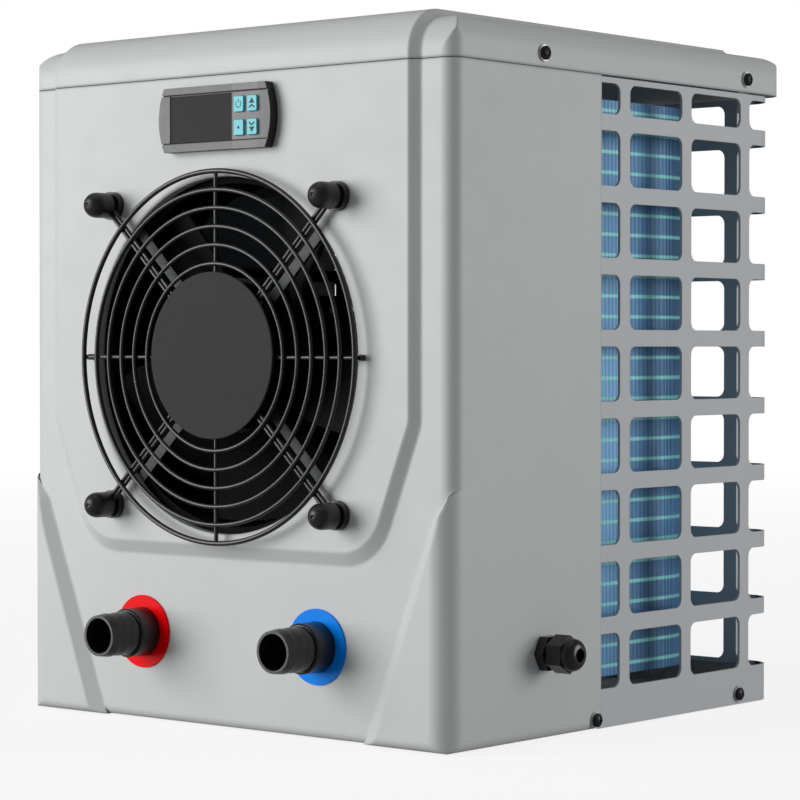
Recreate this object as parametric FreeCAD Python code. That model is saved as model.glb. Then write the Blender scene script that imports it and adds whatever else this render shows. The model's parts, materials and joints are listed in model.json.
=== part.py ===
import FreeCAD, Part
import math
import os

# Mini pool heat pump. Millimetres, +Z up, front face towards -Y, right side towards +X.
# Every node is one physical piece, or one set of identical pieces.

V = FreeCAD.Vector

# ---- casing ----
HALF_W = 155.0            # half of the casing's width
FRONT_Y = -151.0          # flat front strips
REAR_Y = 151.0            # outside of the rear grille
BOTTOM_Z = 1.0            # lower edge of the skirt, above the floor
SEAM_Z = 354.0            # lower edge of the top cover
SEAM_GAP = 0.4            # open joint between the top cover and the front shell
SHEET = 1.5               # casing sheet thickness
CORNER_R = 8.5            # vertical front corners
ROLL_R = 4.5              # rolled bottom edge
RAISE = 4.2               # height of the raised centre panel
BULGE = 4.5               # height of the lower corner bulges
BULGE_CORNER_R = 12.6
CENTRE_X = -1.5           # centre line shared by the fan, the controller and the ports
SIDE_SEAM_Y = -24.25      # rear edge of the right side panel
LEFT_SEAM_Y = 110.0       # rear edge of the left side panel
LID_TOP_Z = 377.0
LID_ROLL_R = 20.0         # roll along the front
LID_SIDE_R = 14.0         # roll along both sides
LID_REAR_ROLL_R = 12.0
LID_REAR_Y = 158.5
LID_REAR_R = 12.0         # vertical rear corners
BAND_REAR_Y = 138.0
BAND_HALF = 130.0         # half-width of the raised face
BAND_FOOT = 5.0           # extra half-width at the foot of its chamfer
TAB_Z = (342.0, 366.0)    # tabs that the top cover is screwed to
SCREW_HEAD_R = 3.7
SCREW_HEAD_BALL_R = 5.2   # the head is a slice of this ball
SCREW_BALL_SINK = 2.6     # depth of the ball's centre behind the washer
SCREW_SLOT = 0.45         # half-width of the cross recess
SCREW_SHANK_R = 2.0
SCREW_HOLE_R = 2.2
SCREW_PILOT_R = 2.05      # the screws bite into the tray here
WASHER_T = 1.0

# ---- rear grille ----
GRILLE_X = 153.4
GRILLE_TOP_Z = 353.2
GRILLE_R = 15.0
GRILLE_FRONT_Y = -63.0
WINDOW_R = 5.0
WINDOW_W = 50.3
WINDOW_PITCH = 59.5
WINDOW_H = 29.75
ROW_Z = 22.0
ROW_PITCH = 38.93
FULL_ROWS = 8
TOP_ROW_Z = (333.25, 350.0)
SIDE_COLUMN_Y = -55.0     # front edge of the first side column
SIDE_COLUMNS = 3
REAR_COLUMN_X = 119.1     # right edge of the first rear column
REAR_COLUMNS = 4
CORNER_WINDOW_Y = 123.5
CORNER_WINDOW_X = 127.9

# ---- fan ----
FAN_Z = 202.7
ORIFICE_R = 96.5
GUARD_Z = 201.7           # the guard hangs 1 mm below the fan axis
RING_Y = -162.2
RING_RADII = (40.0, 50.3, 60.4, 70.3, 80.3, 90.0)
RING_WIRE_R = 1.2
OUTER_RING_R = 100.0
OUTER_WIRE_R = 1.4
SPOKE_Y = -160.4
SPOKE_START_R = 38.0
LEG_OFFSET = 1.25         # half the spacing of the two wires of a diagonal leg
BUMPER_R = 1.7            # stubs that hold the guard off the panel at both sides
STUD_OFFSET = 83.0        # stud offset from the fan axis, in X and in Z
STUD_R = 2.5
STUD_TIP_Y = -171.0
SPACER_FRONT = (-159.15, -155.25, 7.75)   # front and back of the spacer, and its radius
SPACER_BACK = (-153.65, -149.35, 7.0)
CAP_R = 7.0
CAP_BASE_Y = -161.7
CAP_DOME_Y = -169.0
HUB_R = 44.9
HUB_T = 1.3
ARM_Y = (-149.3, -147.3)
ARM_W = 6.0
ARM_END_R = 7.0
SHROUD_FRONT_Y = -147.2
SHROUD_REAR_Y = -106.0
SHROUD_R = 93.0
BLADE_R = 90.0
BLADE_COUNT = 5
ROTOR_R = 42.0
SHAFT_R = 4.0
RUNNING_GAP = 0.05        # radial clearance between a shaft and its bearings

# ---- controller ----
PANEL_Y = FRONT_Y - RAISE
BEZEL_X = (-43.5, 38.9)
BEZEL_Z = (312.9, 347.7)
BEZEL_Y = -161.2
KEY_X = (16.4, 26.1)
KEY_Z = (336.6, 324.1)
KEY_W = 6.8
KEY_H = 8.2
KEY_FIT = 0.2             # gap round each key in the bezel

# ---- water side ----
PORT_X = (CENTRE_X - 64.4, CENTRE_X + 64.4)
PORT_Z = 49.5
PORT_RING_R = 20.15
COLLAR_R = 13.4
TAIL_R = 11.2             # between the ribs
RIB_R = 11.9
RIB_LAND = 1.2            # flat on the crest of each rib
RIB_ENDS = (-179.0, -172.1, -166.2)
TAIL_BORE_R = 9.6
TAIL_TIP_Y = -185.8
TANK_Y = -105.0
TANK_Z = PORT_Z
TANK_R = 36.0
TANK_WALL = 3.0
TANK_X = (-100.0, 97.0)
VANE_Z = 79.0             # axis of the flow vane

# ---- cable gland ----
GLAND_Y = -74.1
GLAND_Z = 46.5
GLAND_AF = 17.7
GLAND_HOLE_R = 3.6
GLAND_REACH = 22.8        # from the side panel to the tip of the dome nut

# ---- evaporator ----
COIL_X = 137.0            # outer face of the side leg
COIL_Y = 133.0            # outer face of the rear leg
COIL_DEPTH = 25.0
COIL_BEND_R = 71.0
COIL_FRONT_Y = -68.0
COIL_LEFT_X = -124.0
TUBE_Z = 31.2             # lowest tube
TUBE_PITCH = 11.344
TUBE_COUNT = 28
TUBE_R = 2.5
PLATE = 1.5
BEND_PACKS = 3            # fin packs round the corner of the coil

# ---- compressor ----
COMP_X = -85.0
COMP_Y = 40.0
COMP_R = 47.0
COMP_Z = (22.0, 222.0)
ACC_X = -120.0
ACC_Y = -27.0

# ---- datum ----
# The dimensions above are from the middle of the casing. The finished pieces are moved so that the
# middle of the overall box, at floor level, is the origin.
SCREW_RIM = math.sqrt(SCREW_HEAD_BALL_R ** 2 - 2.0 * SCREW_SLOT ** 2)
SCREW_REACH = WASHER_T + SCREW_RIM - SCREW_BALL_SINK
DATUM = V(
    -0.5 * (GLAND_REACH - SCREW_REACH),
    -0.5 * (LID_REAR_Y + TAIL_TIP_Y),
    0.0,
)


# ------------------------------------------------------------------ helpers
def box(x0, x1, y0, y1, z0, z1):
    return Part.makeBox(x1 - x0, y1 - y0, z1 - z0, V(x0, y0, z0))


def side_box(side, near, far, y0, y1, z0, z1):
    """Box on the right (side 1) or left (side -1), between two distances from the middle."""
    low, high = sorted((side * near, side * far))
    return box(low, high, y0, y1, z0, z1)


def cyl(radius, start, end):
    """Cylinder between two points."""
    axis = V(*end) - V(*start)
    return Part.makeCylinder(radius, axis.Length, V(*start), axis)


def tube(outer, inner, start, end):
    return cyl(outer, start, end).cut(cyl(inner, start, end))


def fuse(shapes):
    if len(shapes) == 1:
        return shapes[0]
    return shapes[0].multiFuse(shapes[1:]).removeSplitter()


def group(shapes):
    return Part.makeCompound(shapes)


def rounded_wire(corners, place):
    """Closed wire through (u, v, radius) corners; place(u, v) gives the 3-D point."""
    count = len(corners)
    pieces = []
    for i in range(count):
        before = corners[i - 1]
        here = corners[i]
        after = corners[(i + 1) % count]
        to_before = (before[0] - here[0], before[1] - here[1])
        to_after = (after[0] - here[0], after[1] - here[1])
        len_b = math.hypot(*to_before)
        len_a = math.hypot(*to_after)
        to_before = (to_before[0] / len_b, to_before[1] / len_b)
        to_after = (to_after[0] / len_a, to_after[1] / len_a)
        radius = here[2]
        if radius <= 0:
            pieces.append(((here[0], here[1]), None, (here[0], here[1])))
            continue
        cosine = to_before[0] * to_after[0] + to_before[1] * to_after[1]
        half = 0.5 * math.acos(cosine)
        reach = radius / math.tan(half)
        start = (here[0] + to_before[0] * reach, here[1] + to_before[1] * reach)
        end = (here[0] + to_after[0] * reach, here[1] + to_after[1] * reach)
        mid_dir = (to_before[0] + to_after[0], to_before[1] + to_after[1])
        mid_len = math.hypot(*mid_dir)
        bulge = radius / math.sin(half) - radius
        middle = (here[0] + mid_dir[0] / mid_len * bulge, here[1] + mid_dir[1] / mid_len * bulge)
        pieces.append((start, middle, end))
    edges = []
    for i in range(count):
        start, middle, end = pieces[i]
        following = pieces[(i + 1) % count][0]
        if middle is not None:
            edges.append(Part.Arc(place(*start), place(*middle), place(*end)).toShape())
        if math.hypot(end[0] - following[0], end[1] - following[1]) > 1e-6:
            edges.append(Part.makeLine(place(*end), place(*following)))
    return Part.Wire(edges)


def slab(corners, axis, low, high):
    """Extrude a rounded outline along 'x', 'y' or 'z'. The outline is in the other two axes, in order."""
    place = {
        "x": lambda u, v: V(low, u, v),
        "y": lambda u, v: V(u, low, v),
        "z": lambda u, v: V(u, v, low),
    }[axis]
    travel = {"x": V(high - low, 0, 0), "y": V(0, high - low, 0), "z": V(0, 0, high - low)}[axis]
    return Part.Face(rounded_wire(corners, place)).extrude(travel)


def rounded_box(x0, x1, y0, y1, z0, z1, axis, radius):
    low, high, a0, a1, b0, b1 = {
        "x": (x0, x1, y0, y1, z0, z1),
        "y": (y0, y1, x0, x1, z0, z1),
        "z": (z0, z1, x0, x1, y0, y1),
    }[axis]
    corners = [(a0, b0, radius), (a1, b0, radius), (a1, b1, radius), (a0, b1, radius)]
    return slab(corners, axis, low, high)


def hexagon(across_flats, centre, axis, low, high, corner_on_first):
    """Hexagonal prism along 'x' or 'y', a corner on the first or the second cross axis."""
    radius = across_flats / math.sqrt(3.0)
    start = 0.0 if corner_on_first else 30.0
    corners = []
    for i in range(6):
        angle = math.radians(start + 60.0 * i)
        corners.append((centre[0] + radius * math.cos(angle), centre[1] + radius * math.sin(angle), 0))
    return slab(corners, axis, low, high)


def path_wire(points, bend):
    """Open wire through the points, each inner corner rounded with the bend radius."""
    pts = [V(*p) for p in points]
    edges = []
    cursor = pts[0]
    for i in range(1, len(pts) - 1):
        back = (pts[i - 1] - pts[i]).normalize()
        ahead = (pts[i + 1] - pts[i]).normalize()
        half = 0.5 * math.acos(max(-1.0, min(1.0, back.dot(ahead))))
        reach = bend / math.tan(half)
        start = pts[i] + back * reach
        end = pts[i] + ahead * reach
        towards = (back + ahead).normalize()
        middle = pts[i] + towards * (bend / math.sin(half) - bend)
        if (start - cursor).Length > 1e-6:
            edges.append(Part.makeLine(cursor, start))
        edges.append(Part.Arc(start, middle, end).toShape())
        cursor = end
    if (pts[-1] - cursor).Length > 1e-6:
        edges.append(Part.makeLine(cursor, pts[-1]))
    return Part.Wire(edges)


def sweep(wire, radius):
    first = wire.Edges[0]
    start = first.valueAt(first.FirstParameter)
    tangent = first.tangentAt(first.FirstParameter)
    profile = Part.Wire([Part.makeCircle(radius, start, tangent)])
    return wire.makePipeShell([profile], True, False)


def pipe(points, radius, bend):
    return sweep(path_wire(points, bend), radius)


def ring(centre_radius, wire_radius, centre, axis):
    return Part.makeTorus(centre_radius, wire_radius, V(*centre), V(*axis))


def save(name, shape):
    solids = shape.Solids
    if not solids:
        raise RuntimeError(name + " holds no solid")
    for solid in solids:
        if not solid.isValid() or solid.Volume <= 0:
            raise RuntimeError(name + " holds a bad solid")
    result = (solids[0] if len(solids) == 1 else group(solids)).copy()
    result.translate(DATUM)
    result.exportStep("parts/" + name + ".step")
    print(name, len(solids), "solid(s)", round(sum(s.Volume for s in solids) / 1000.0, 2), "cm3")


# ------------------------------------------------------------------ casing
def block_outline(half_w, front, rear, corner):
    return [(-half_w, front, corner), (half_w, front, corner), (half_w, rear, 0), (-half_w, rear, 0)]


def rolled_block(half_w, front, rear, bottom, top, corner, roll):
    """Upright block with rounded front corners and a rolled bottom edge at the front and both sides."""
    plan = slab(block_outline(half_w, front, rear, corner), "z", bottom, top)
    elevation = slab(
        [(-half_w, bottom, roll), (half_w, bottom, roll), (half_w, top, 0), (-half_w, top, 0)],
        "y", front - 1, rear + 1)
    side = slab([(front, bottom, roll), (rear, bottom, 0), (rear, top, 0), (front, top, 0)],
                "x", -half_w - 1, half_w + 1)
    return plan.common(elevation).common(side)


def raised_outline(half_w, bottom, top, knee, spread, corner):
    """Front outline of the raised panel: straight, tapered in, then a rounded flat bottom."""
    low_half = half_w - spread
    left = CENTRE_X - half_w
    right = CENTRE_X + half_w
    return [
        (left, top, 0),
        (left, knee, 14.0),
        (CENTRE_X - low_half, bottom, corner),
        (CENTRE_X + low_half, bottom, corner),
        (right, knee, 14.0),
        (right, top, 0),
    ]


def raised_panel(inset, top):
    """Raised centre panel with a chamfered edge, as a solid that reaches back into the casing."""
    face_y = PANEL_Y + inset
    foot_y = FRONT_Y + inset
    raised = raised_outline(BAND_HALF - inset, 100.0 + inset, top, 169.0, 27.0, 28.0)
    foot = raised_outline(BAND_HALF + BAND_FOOT - inset, 93.0 + inset, top, 167.0, 28.5, 33.0)
    raised_wire = rounded_wire(raised, lambda u, v: V(u, face_y, v))
    foot_wire = rounded_wire(foot, lambda u, v: V(u, foot_y, v))
    loft = Part.makeLoft([raised_wire, foot_wire], True, True)
    root = slab(foot, "y", foot_y, foot_y + 6.0)
    return loft.fuse(root)


def corner_bulge(side, inset, bottom):
    """Lower corner bulge; its crease runs from the corner edge down and inwards."""
    far = HALF_W + 5.0
    low = bottom - 5.0
    foot = [(far, low, 0), (far, 141.0, 0), (141.5, 121.0, 5.0), (93.2, low, 0)]
    face = [(far, low, 0), (far, 132.0, 0), (149.2, 121.5, 5.0), (102.9, low, 0)]
    foot_y = FRONT_Y + inset
    face_y = FRONT_Y - BULGE + inset
    foot_wire = rounded_wire([(side * u, v, r) for u, v, r in foot], lambda u, v: V(u, foot_y, v))
    face_wire = rounded_wire([(side * u, v, r) for u, v, r in face], lambda u, v: V(u, face_y, v))
    loft = Part.makeLoft([face_wire, foot_wire], True, True)
    root = slab([(side * u, v, r) for u, v, r in foot], "y", foot_y, foot_y + 12.0)
    limit = rolled_block(HALF_W - inset, face_y, 0.0, bottom, 170.0, BULGE_CORNER_R - inset, ROLL_R - inset)
    return loft.fuse(root).common(limit)


def casing_core(inset, bottom, top):
    """Outer form of the skirt, shrunk by inset."""
    body = rolled_block(HALF_W - inset, FRONT_Y + inset, REAR_Y, bottom, top,
                        CORNER_R - inset, max(ROLL_R - inset, 1.0))
    parts = [body, raised_panel(inset, top)]
    for side in (-1, 1):
        parts.append(corner_bulge(side, inset, bottom))
    return body.multiFuse(parts[1:])


def screw_points():
    """Casing screws: (side, y, z, outer surface x)."""
    points = []
    for side in (-1, 1):
        points.append((side, -76.0, 361.2, HALF_W))
        points.append((side, 117.5, 361.2, HALF_W))
    for side, y, z, surface in ((1, -29.3, 6.4, HALF_W), (1, 112.5, 7.0, GRILLE_X),
                                (-1, -29.3, 6.4, HALF_W), (-1, 130.0, 7.0, GRILLE_X)):
        points.append((side, y, z, surface))
    return points


def screw_holes(radius):
    holes = []
    for side, y, z, surface in screw_points():
        holes.append(cyl(radius, (side * 142.0, y, z), (side * 158.0, y, z)))
    return group(holes)


def front_shell():
    outer = casing_core(0.0, BOTTOM_Z, SEAM_Z - SEAM_GAP)
    inner = casing_core(SHEET, BOTTOM_Z + SHEET, SEAM_Z + 10.0)
    shell = outer.cut(inner)
    shell = shell.cut(box(-HALF_W + 6.0, HALF_W - 6.0, FRONT_Y + 6.0, REAR_Y + 1.0, -5.0, 5.0))
    shell = shell.cut(box(0.0, HALF_W + 1.0, SIDE_SEAM_Y, REAR_Y + 1.0, -5.0, SEAM_Z + 1.0))
    shell = shell.cut(box(-HALF_W - 1.0, 0.0, LEFT_SEAM_Y, REAR_Y + 1.0, -5.0, SEAM_Z + 1.0))
    lip = tube(ORIFICE_R + SHEET, ORIFICE_R, (CENTRE_X, PANEL_Y, FAN_Z), (CENTRE_X, -149.6, FAN_Z))
    tabs = [lip]
    wall = HALF_W - SHEET
    for side in (-1, 1):
        tabs.append(side_box(side, wall - 1.4, wall, -85.0, -67.0, TAB_Z[0], SEAM_Z - 1.0))
        tabs.append(side_box(side, wall - 1.4 - SHEET, wall - 1.4, -85.0, -67.0, TAB_Z[0], TAB_Z[1]))
    shell = shell.multiFuse(tabs)
    holes = [cyl(ORIFICE_R, (CENTRE_X, -160.0, FAN_Z), (CENTRE_X, -140.0, FAN_Z))]
    for x, z in stud_points():
        holes.append(cyl(STUD_R + 0.2, (x, -160.0, z), (x, -140.0, z)))
    for x in PORT_X:
        holes.append(cyl(12.6, (x, -160.0, PORT_Z), (x, -140.0, PORT_Z)))
    holes.append(box(BEZEL_X[0] + 5.6, BEZEL_X[1] - 5.6, -160.0, -140.0, BEZEL_Z[0] + 2.9, BEZEL_Z[1] - 2.9))
    holes.append(cyl(7.8, (150.0, GLAND_Y, GLAND_Z), (158.0, GLAND_Y, GLAND_Z)))
    shell = shell.cut(group(holes))
    return shell.cut(screw_holes(SCREW_HOLE_R))


def lid_form(inset, bottom):
    """Outer form of the top cover, shrunk by inset: rolled border and raised centre band."""
    half_w = HALF_W - inset
    front = FRONT_Y + inset
    rear = LID_REAR_Y - inset
    top = LID_TOP_Z - inset
    side_roll = LID_SIDE_R - inset
    plan = slab([(-half_w, front, CORNER_R - inset), (half_w, front, CORNER_R - inset),
                 (half_w, rear, LID_REAR_R - inset), (-half_w, rear, LID_REAR_R - inset)],
                "z", bottom, top + 1.0)
    elevation = slab([(-half_w, bottom, 0), (half_w, bottom, 0), (half_w, top, side_roll),
                      (-half_w, top, side_roll)], "y", front - 1.0, rear + 1.0)
    side = slab([(front, bottom, 0), (rear, bottom, 0), (rear, top, LID_REAR_ROLL_R - inset),
                 (front, top, LID_ROLL_R - inset)], "x", -half_w - 1.0, half_w + 1.0)
    border = plan.common(elevation).common(side)
    sections = []
    for x, lift in ((-BAND_HALF - BAND_FOOT, 0.0), (-BAND_HALF, RAISE), (BAND_HALF, RAISE),
                    (BAND_HALF + BAND_FOOT, 0.0)):
        x_here = CENTRE_X + x - math.copysign(inset, x)
        sections.append(band_section(x_here, lift, inset, bottom))
    band = Part.makeLoft(sections, True, True)
    return border.fuse(band)


def band_section(x, lift, inset, bottom):
    """Side section of the raised band at one x: up the front, over the roll, back to the rear step."""
    front = FRONT_Y + inset - lift
    top = LID_TOP_Z - inset + lift
    roll = LID_ROLL_R - inset + lift
    rear = BAND_REAR_Y - inset
    start = V(x, front, top - roll)
    bend = V(x, front + roll * (1.0 - math.sqrt(0.5)), top - roll * (1.0 - math.sqrt(0.5)))
    end = V(x, front + roll, top)
    edges = [
        Part.makeLine(V(x, front, bottom), start),
        Part.Arc(start, bend, end).toShape(),
        Part.makeLine(end, V(x, rear - BAND_FOOT, top)),
        Part.makeLine(V(x, rear - BAND_FOOT, top), V(x, rear, top - lift - 0.05)),
        Part.makeLine(V(x, rear, top - lift - 0.05), V(x, rear, bottom)),
        Part.makeLine(V(x, rear, bottom), V(x, front, bottom)),
    ]
    return Part.Wire(edges)


def top_cover():
    outer = lid_form(0.0, SEAM_Z)
    inner = lid_form(SHEET, SEAM_Z - 5.0)
    return outer.cut(inner).cut(screw_holes(SCREW_HOLE_R))


def window_rows():
    rows = [(ROW_Z + ROW_PITCH * i, ROW_Z + ROW_PITCH * i + WINDOW_H) for i in range(FULL_ROWS)]
    rows.append(TOP_ROW_Z)
    return rows


def rear_grille():
    """Rear and right side panel, one bent sheet, with rounded windows."""
    def outline(inset):
        half_w = GRILLE_X - inset
        rear = REAR_Y - inset
        return [(-half_w, -90.0, 0), (half_w, -90.0, 0), (half_w, rear, GRILLE_R - inset),
                (-half_w, rear, GRILLE_R - inset)]
    sheet = slab(outline(0.0), "z", BOTTOM_Z, GRILLE_TOP_Z)
    sheet = sheet.cut(slab(outline(SHEET), "z", BOTTOM_Z - 1.0, GRILLE_TOP_Z + 1.0))
    right = box(100.0, 170.0, GRILLE_FRONT_Y, 170.0, -5.0, 400.0)
    rear = box(-170.0, 101.0, LEFT_SEAM_Y + 0.5, 170.0, -5.0, 400.0)
    sheet = sheet.common(right.fuse(rear))
    tools = []
    for low, high in window_rows():
        for i in range(SIDE_COLUMNS):
            y0 = SIDE_COLUMN_Y + WINDOW_PITCH * i
            tools.append(rounded_box(140.0, 170.0, y0, y0 + WINDOW_W, low, high, "x", WINDOW_R))
        for i in range(REAR_COLUMNS):
            x1 = REAR_COLUMN_X - WINDOW_PITCH * i
            tools.append(rounded_box(x1 - WINDOW_W, x1, 140.0, 170.0, low, high, "y", WINDOW_R))
        side = rounded_box(145.0, 170.0, CORNER_WINDOW_Y, 150.0, low, high, "x", WINDOW_R)
        back = rounded_box(CORNER_WINDOW_X, 150.0, 143.0, 170.0, low, high, "y", WINDOW_R)
        tools.append(side.multiFuse([back, box(133.0, 170.0, 130.0, 170.0, low, high)]))
        far = rounded_box(-150.0, -118.9, 143.0, 170.0, low, high, "y", WINDOW_R)
        tools.append(far.multiFuse([box(-170.0, -133.0, 132.5, 170.0, low, high)]))
    tools.append(box(140.0, 170.0, -90.0, SIDE_SEAM_Y + 0.1, 0.0, BOTTOM_Z + ROLL_R + 0.1))
    sheet = sheet.cut(group(tools))
    wall = GRILLE_X - SHEET
    tabs = [side_box(side, wall - SHEET, wall, 114.4, 123.4, TAB_Z[0], TAB_Z[1]) for side in (-1, 1)]
    return sheet.multiFuse(tabs).cut(screw_holes(SCREW_HOLE_R))


def base_pan():
    """Drip tray that carries everything: floor, upturned rim, drain hole and ribs under the coil."""
    def outline(inset):
        half_w = 151.7 - inset
        return [(-half_w, -148.8 + inset, 7.0), (half_w, -148.8 + inset, 7.0),
                (half_w, 149.3 - inset, 13.5 - inset), (-half_w, 149.3 - inset, 13.5 - inset)]
    tray = slab(outline(0.0), "z", 4.0, 20.0)
    tray = tray.cut(slab(outline(SHEET), "z", 4.0 + SHEET, 30.0))
    holes = [cyl(6.0, (20.0, 70.0, 0.0), (20.0, 70.0, 10.0))]
    for x, y in foot_points():
        holes.append(cyl(3.6, (x, y, 0.0), (x, y, 10.0)))
    for x, y in grommet_points():
        holes.append(cyl(2.6, (x, y, 0.0), (x, y, 10.0)))
    return tray.cut(group(holes)).cut(screw_holes(SCREW_PILOT_R))


def foot_points():
    return [(sx * 118.0, sy * 112.0) for sx in (-1, 1) for sy in (-1, 1)]


def rubber_feet():
    feet = []
    for x, y in foot_points():
        pad = cyl(12.0, (x, y, 0.0), (x, y, 3.95))
        stem = cyl(3.5, (x, y, 3.0), (x, y, 7.0))
        button = Part.makeCone(5.0, 3.5, 2.5, V(x, y, 5.6))
        feet.append(fuse([pad, stem, button]))
    return group(feet)


def casing_screws():
    """Cross-recess pan-head screws with a short shank."""
    screws = []
    for side, y, z, surface in screw_points():
        seat = surface + WASHER_T
        head = Part.makeSphere(SCREW_HEAD_BALL_R, V(side * (seat - SCREW_BALL_SINK), y, z))
        head = head.common(cyl(SCREW_HEAD_R, (side * seat, y, z), (side * (seat + 3.5), y, z)))
        shank = cyl(SCREW_SHANK_R, (side * (seat + 0.2), y, z), (side * (seat - 9.0), y, z))
        screw = head.fuse(shank)
        for dy, dz in ((2.2, SCREW_SLOT), (SCREW_SLOT, 2.2)):
            screw = screw.cut(side_box(side, seat + 1.2, seat + 4.0, y - dy, y + dy, z - dz, z + dz))
        screws.append(screw.removeSplitter())
    return group(screws)


def screw_washers():
    washers = []
    for side, y, z, surface in screw_points():
        inner_x = side * (surface + 0.02)
        outer_x = side * (surface + WASHER_T - 0.02)
        washers.append(tube(4.5, SCREW_SHANK_R + 0.15, (inner_x, y, z), (outer_x, y, z)))
    return group(washers)


# ------------------------------------------------------------------ fan guard
def stud_points():
    return [(CENTRE_X + sx * STUD_OFFSET, FAN_Z + sz * STUD_OFFSET) for sx in (-1, 1) for sz in (-1, 1)]


def guard_point(distance, offset, angle, y):
    """Point of the guard at a distance along a direction, and an offset across it."""
    turn = math.radians(angle)
    x = CENTRE_X + distance * math.cos(turn) - offset * math.sin(turn)
    z = GUARD_Z + distance * math.sin(turn) + offset * math.cos(turn)
    return (x, y, z)


def guard_leg(x, z):
    """Two wires side by side that end in an eye round one stud."""
    reach = math.hypot(x - CENTRE_X, z - GUARD_Z)
    angle = math.degrees(math.atan2(z - GUARD_Z, x - CENTRE_X))
    eye_r = STUD_R + 0.3 + RING_WIRE_R
    wires = [ring(eye_r, RING_WIRE_R, (x, SPOKE_Y, z), (0, 1, 0))]
    for offset in (LEG_OFFSET, -LEG_OFFSET):
        start = guard_point(SPOKE_START_R, offset, angle, SPOKE_Y)
        end = guard_point(reach - eye_r, offset, angle, SPOKE_Y)
        wires.append(cyl(RING_WIRE_R, start, end))
    return wires


def fan_guard():
    """Wire guard: rings, a heavier outer ring, four spokes, four legs with eyes and two rear stubs."""
    centre = (CENTRE_X, RING_Y, GUARD_Z)
    wires = [ring(radius, RING_WIRE_R, centre, (0, 1, 0)) for radius in RING_RADII]
    wires.append(ring(OUTER_RING_R, OUTER_WIRE_R, centre, (0, 1, 0)))
    for angle in (0.0, 90.0, 180.0, 270.0):
        start = guard_point(SPOKE_START_R, 0.0, angle, SPOKE_Y)
        wires.append(cyl(RING_WIRE_R, start, guard_point(OUTER_RING_R, 0.0, angle, SPOKE_Y)))
    for x, z in stud_points():
        wires.extend(guard_leg(x, z))
    front = wires[0].multiFuse(wires[1:])
    stubs = []
    for angle in (0.0, 180.0):
        start = guard_point(OUTER_RING_R, 0.0, angle, SPOKE_Y + RING_WIRE_R + 0.02)
        stubs.append(cyl(BUMPER_R, start, guard_point(OUTER_RING_R, 0.0, angle, PANEL_Y - 0.05)))
    return group([front] + stubs)


def hub_disc():
    """Plain disc that covers the motor, clipped in front of the innermost ring."""
    back = RING_Y - RING_WIRE_R - 0.05
    disc = cyl(HUB_R, (CENTRE_X, back - HUB_T, FAN_Z), (CENTRE_X, back, FAN_Z))
    front_rim = [e for e in disc.Edges
                 if e.Curve.TypeId == "Part::GeomCircle" and e.Curve.Center.y < back - 0.5 * HUB_T]
    return disc.makeFillet(0.5, front_rim)


def guard_studs():
    return group([cyl(STUD_R, (x, STUD_TIP_Y, z), (x, -140.5, z)) for x, z in stud_points()])


def guard_washers():
    """Thick rubber spacers on both sides of the panel, under the guard's eyes and the motor arms."""
    spacers = []
    for front, back, radius in (SPACER_FRONT, SPACER_BACK):
        for x, z in stud_points():
            spacers.append(tube(radius, STUD_R + 0.15, (x, front, z), (x, back, z)))
    return group(spacers)


def guard_nuts():
    nuts = []
    for x, z in stud_points():
        nut = hexagon(8.0, (x, z), "y", -145.6, -141.6, True)
        nuts.append(nut.cut(cyl(STUD_R + 0.03, (x, -150.0, z), (x, -140.0, z))))
    return group(nuts)


def stud_caps():
    """Rubber caps pushed over the stud ends, domed with a small dimple."""
    caps = []
    for x, z in stud_points():
        body = cyl(CAP_R, (x, CAP_BASE_Y, z), (x, CAP_DOME_Y, z))
        dome = Part.makeSphere(CAP_R, V(x, CAP_DOME_Y, z))
        cap = body.fuse(dome).removeSplitter()
        cap = cap.cut(box(x - 10.0, x + 10.0, CAP_BASE_Y, CAP_BASE_Y + 10.0, z - 10.0, z + 10.0))
        bore = cyl(STUD_R + 0.03, (x, CAP_BASE_Y + 1.0, z), (x, STUD_TIP_Y - 0.2, z))
        dimple = Part.makeSphere(1.6, V(x, CAP_DOME_Y - CAP_R - 0.8, z))
        caps.append(cap.cut(bore).cut(dimple))
    return group(caps)


# ------------------------------------------------------------------ fan and motor
def fan_shroud():
    """Fan ring with a flange and four lugs, clamped behind the motor arms."""
    axis_a = (CENTRE_X, SHROUD_FRONT_Y, FAN_Z)
    body = cyl(SHROUD_R + 1.6, axis_a, (CENTRE_X, SHROUD_REAR_Y, FAN_Z))
    flange = cyl(106.0, axis_a, (CENTRE_X, SHROUD_FRONT_Y + 1.5, FAN_Z))
    mouth = Part.makeCone(SHROUD_R + 1.6, SHROUD_R + 5.6, 4.0,
                          V(CENTRE_X, SHROUD_REAR_Y - 4.0, FAN_Z), V(0, 1, 0))
    parts = [body, flange, mouth]
    for x, z in stud_points():
        inner = V(CENTRE_X + (x - CENTRE_X) * 0.8, SHROUD_FRONT_Y, FAN_Z + (z - FAN_Z) * 0.8)
        lug = cyl(8.0, (x, SHROUD_FRONT_Y, z), (x, SHROUD_FRONT_Y + 1.5, z))
        arm = box(-12.0, 12.0, 0.0, 1.5, -8.0, 8.0)
        arm.rotate(V(0, 0, 0), V(0, 1, 0), -math.degrees(math.atan2(z - FAN_Z, x - CENTRE_X)))
        arm.translate(inner + (V(x, SHROUD_FRONT_Y, z) - inner) * 0.5)
        parts.extend([lug, arm])
    solid = fuse(parts)
    bore = cyl(SHROUD_R, (CENTRE_X, SHROUD_FRONT_Y - 1.0, FAN_Z), (CENTRE_X, SHROUD_REAR_Y - 4.0, FAN_Z))
    bell = Part.makeCone(SHROUD_R, SHROUD_R + 4.5, 4.5, V(CENTRE_X, SHROUD_REAR_Y - 4.2, FAN_Z), V(0, 1, 0))
    holes = [cyl(STUD_R + 0.15, (x, -150.0, z), (x, -140.0, z)) for x, z in stud_points()]
    return solid.cut(bore).cut(bell).cut(group(holes))


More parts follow.
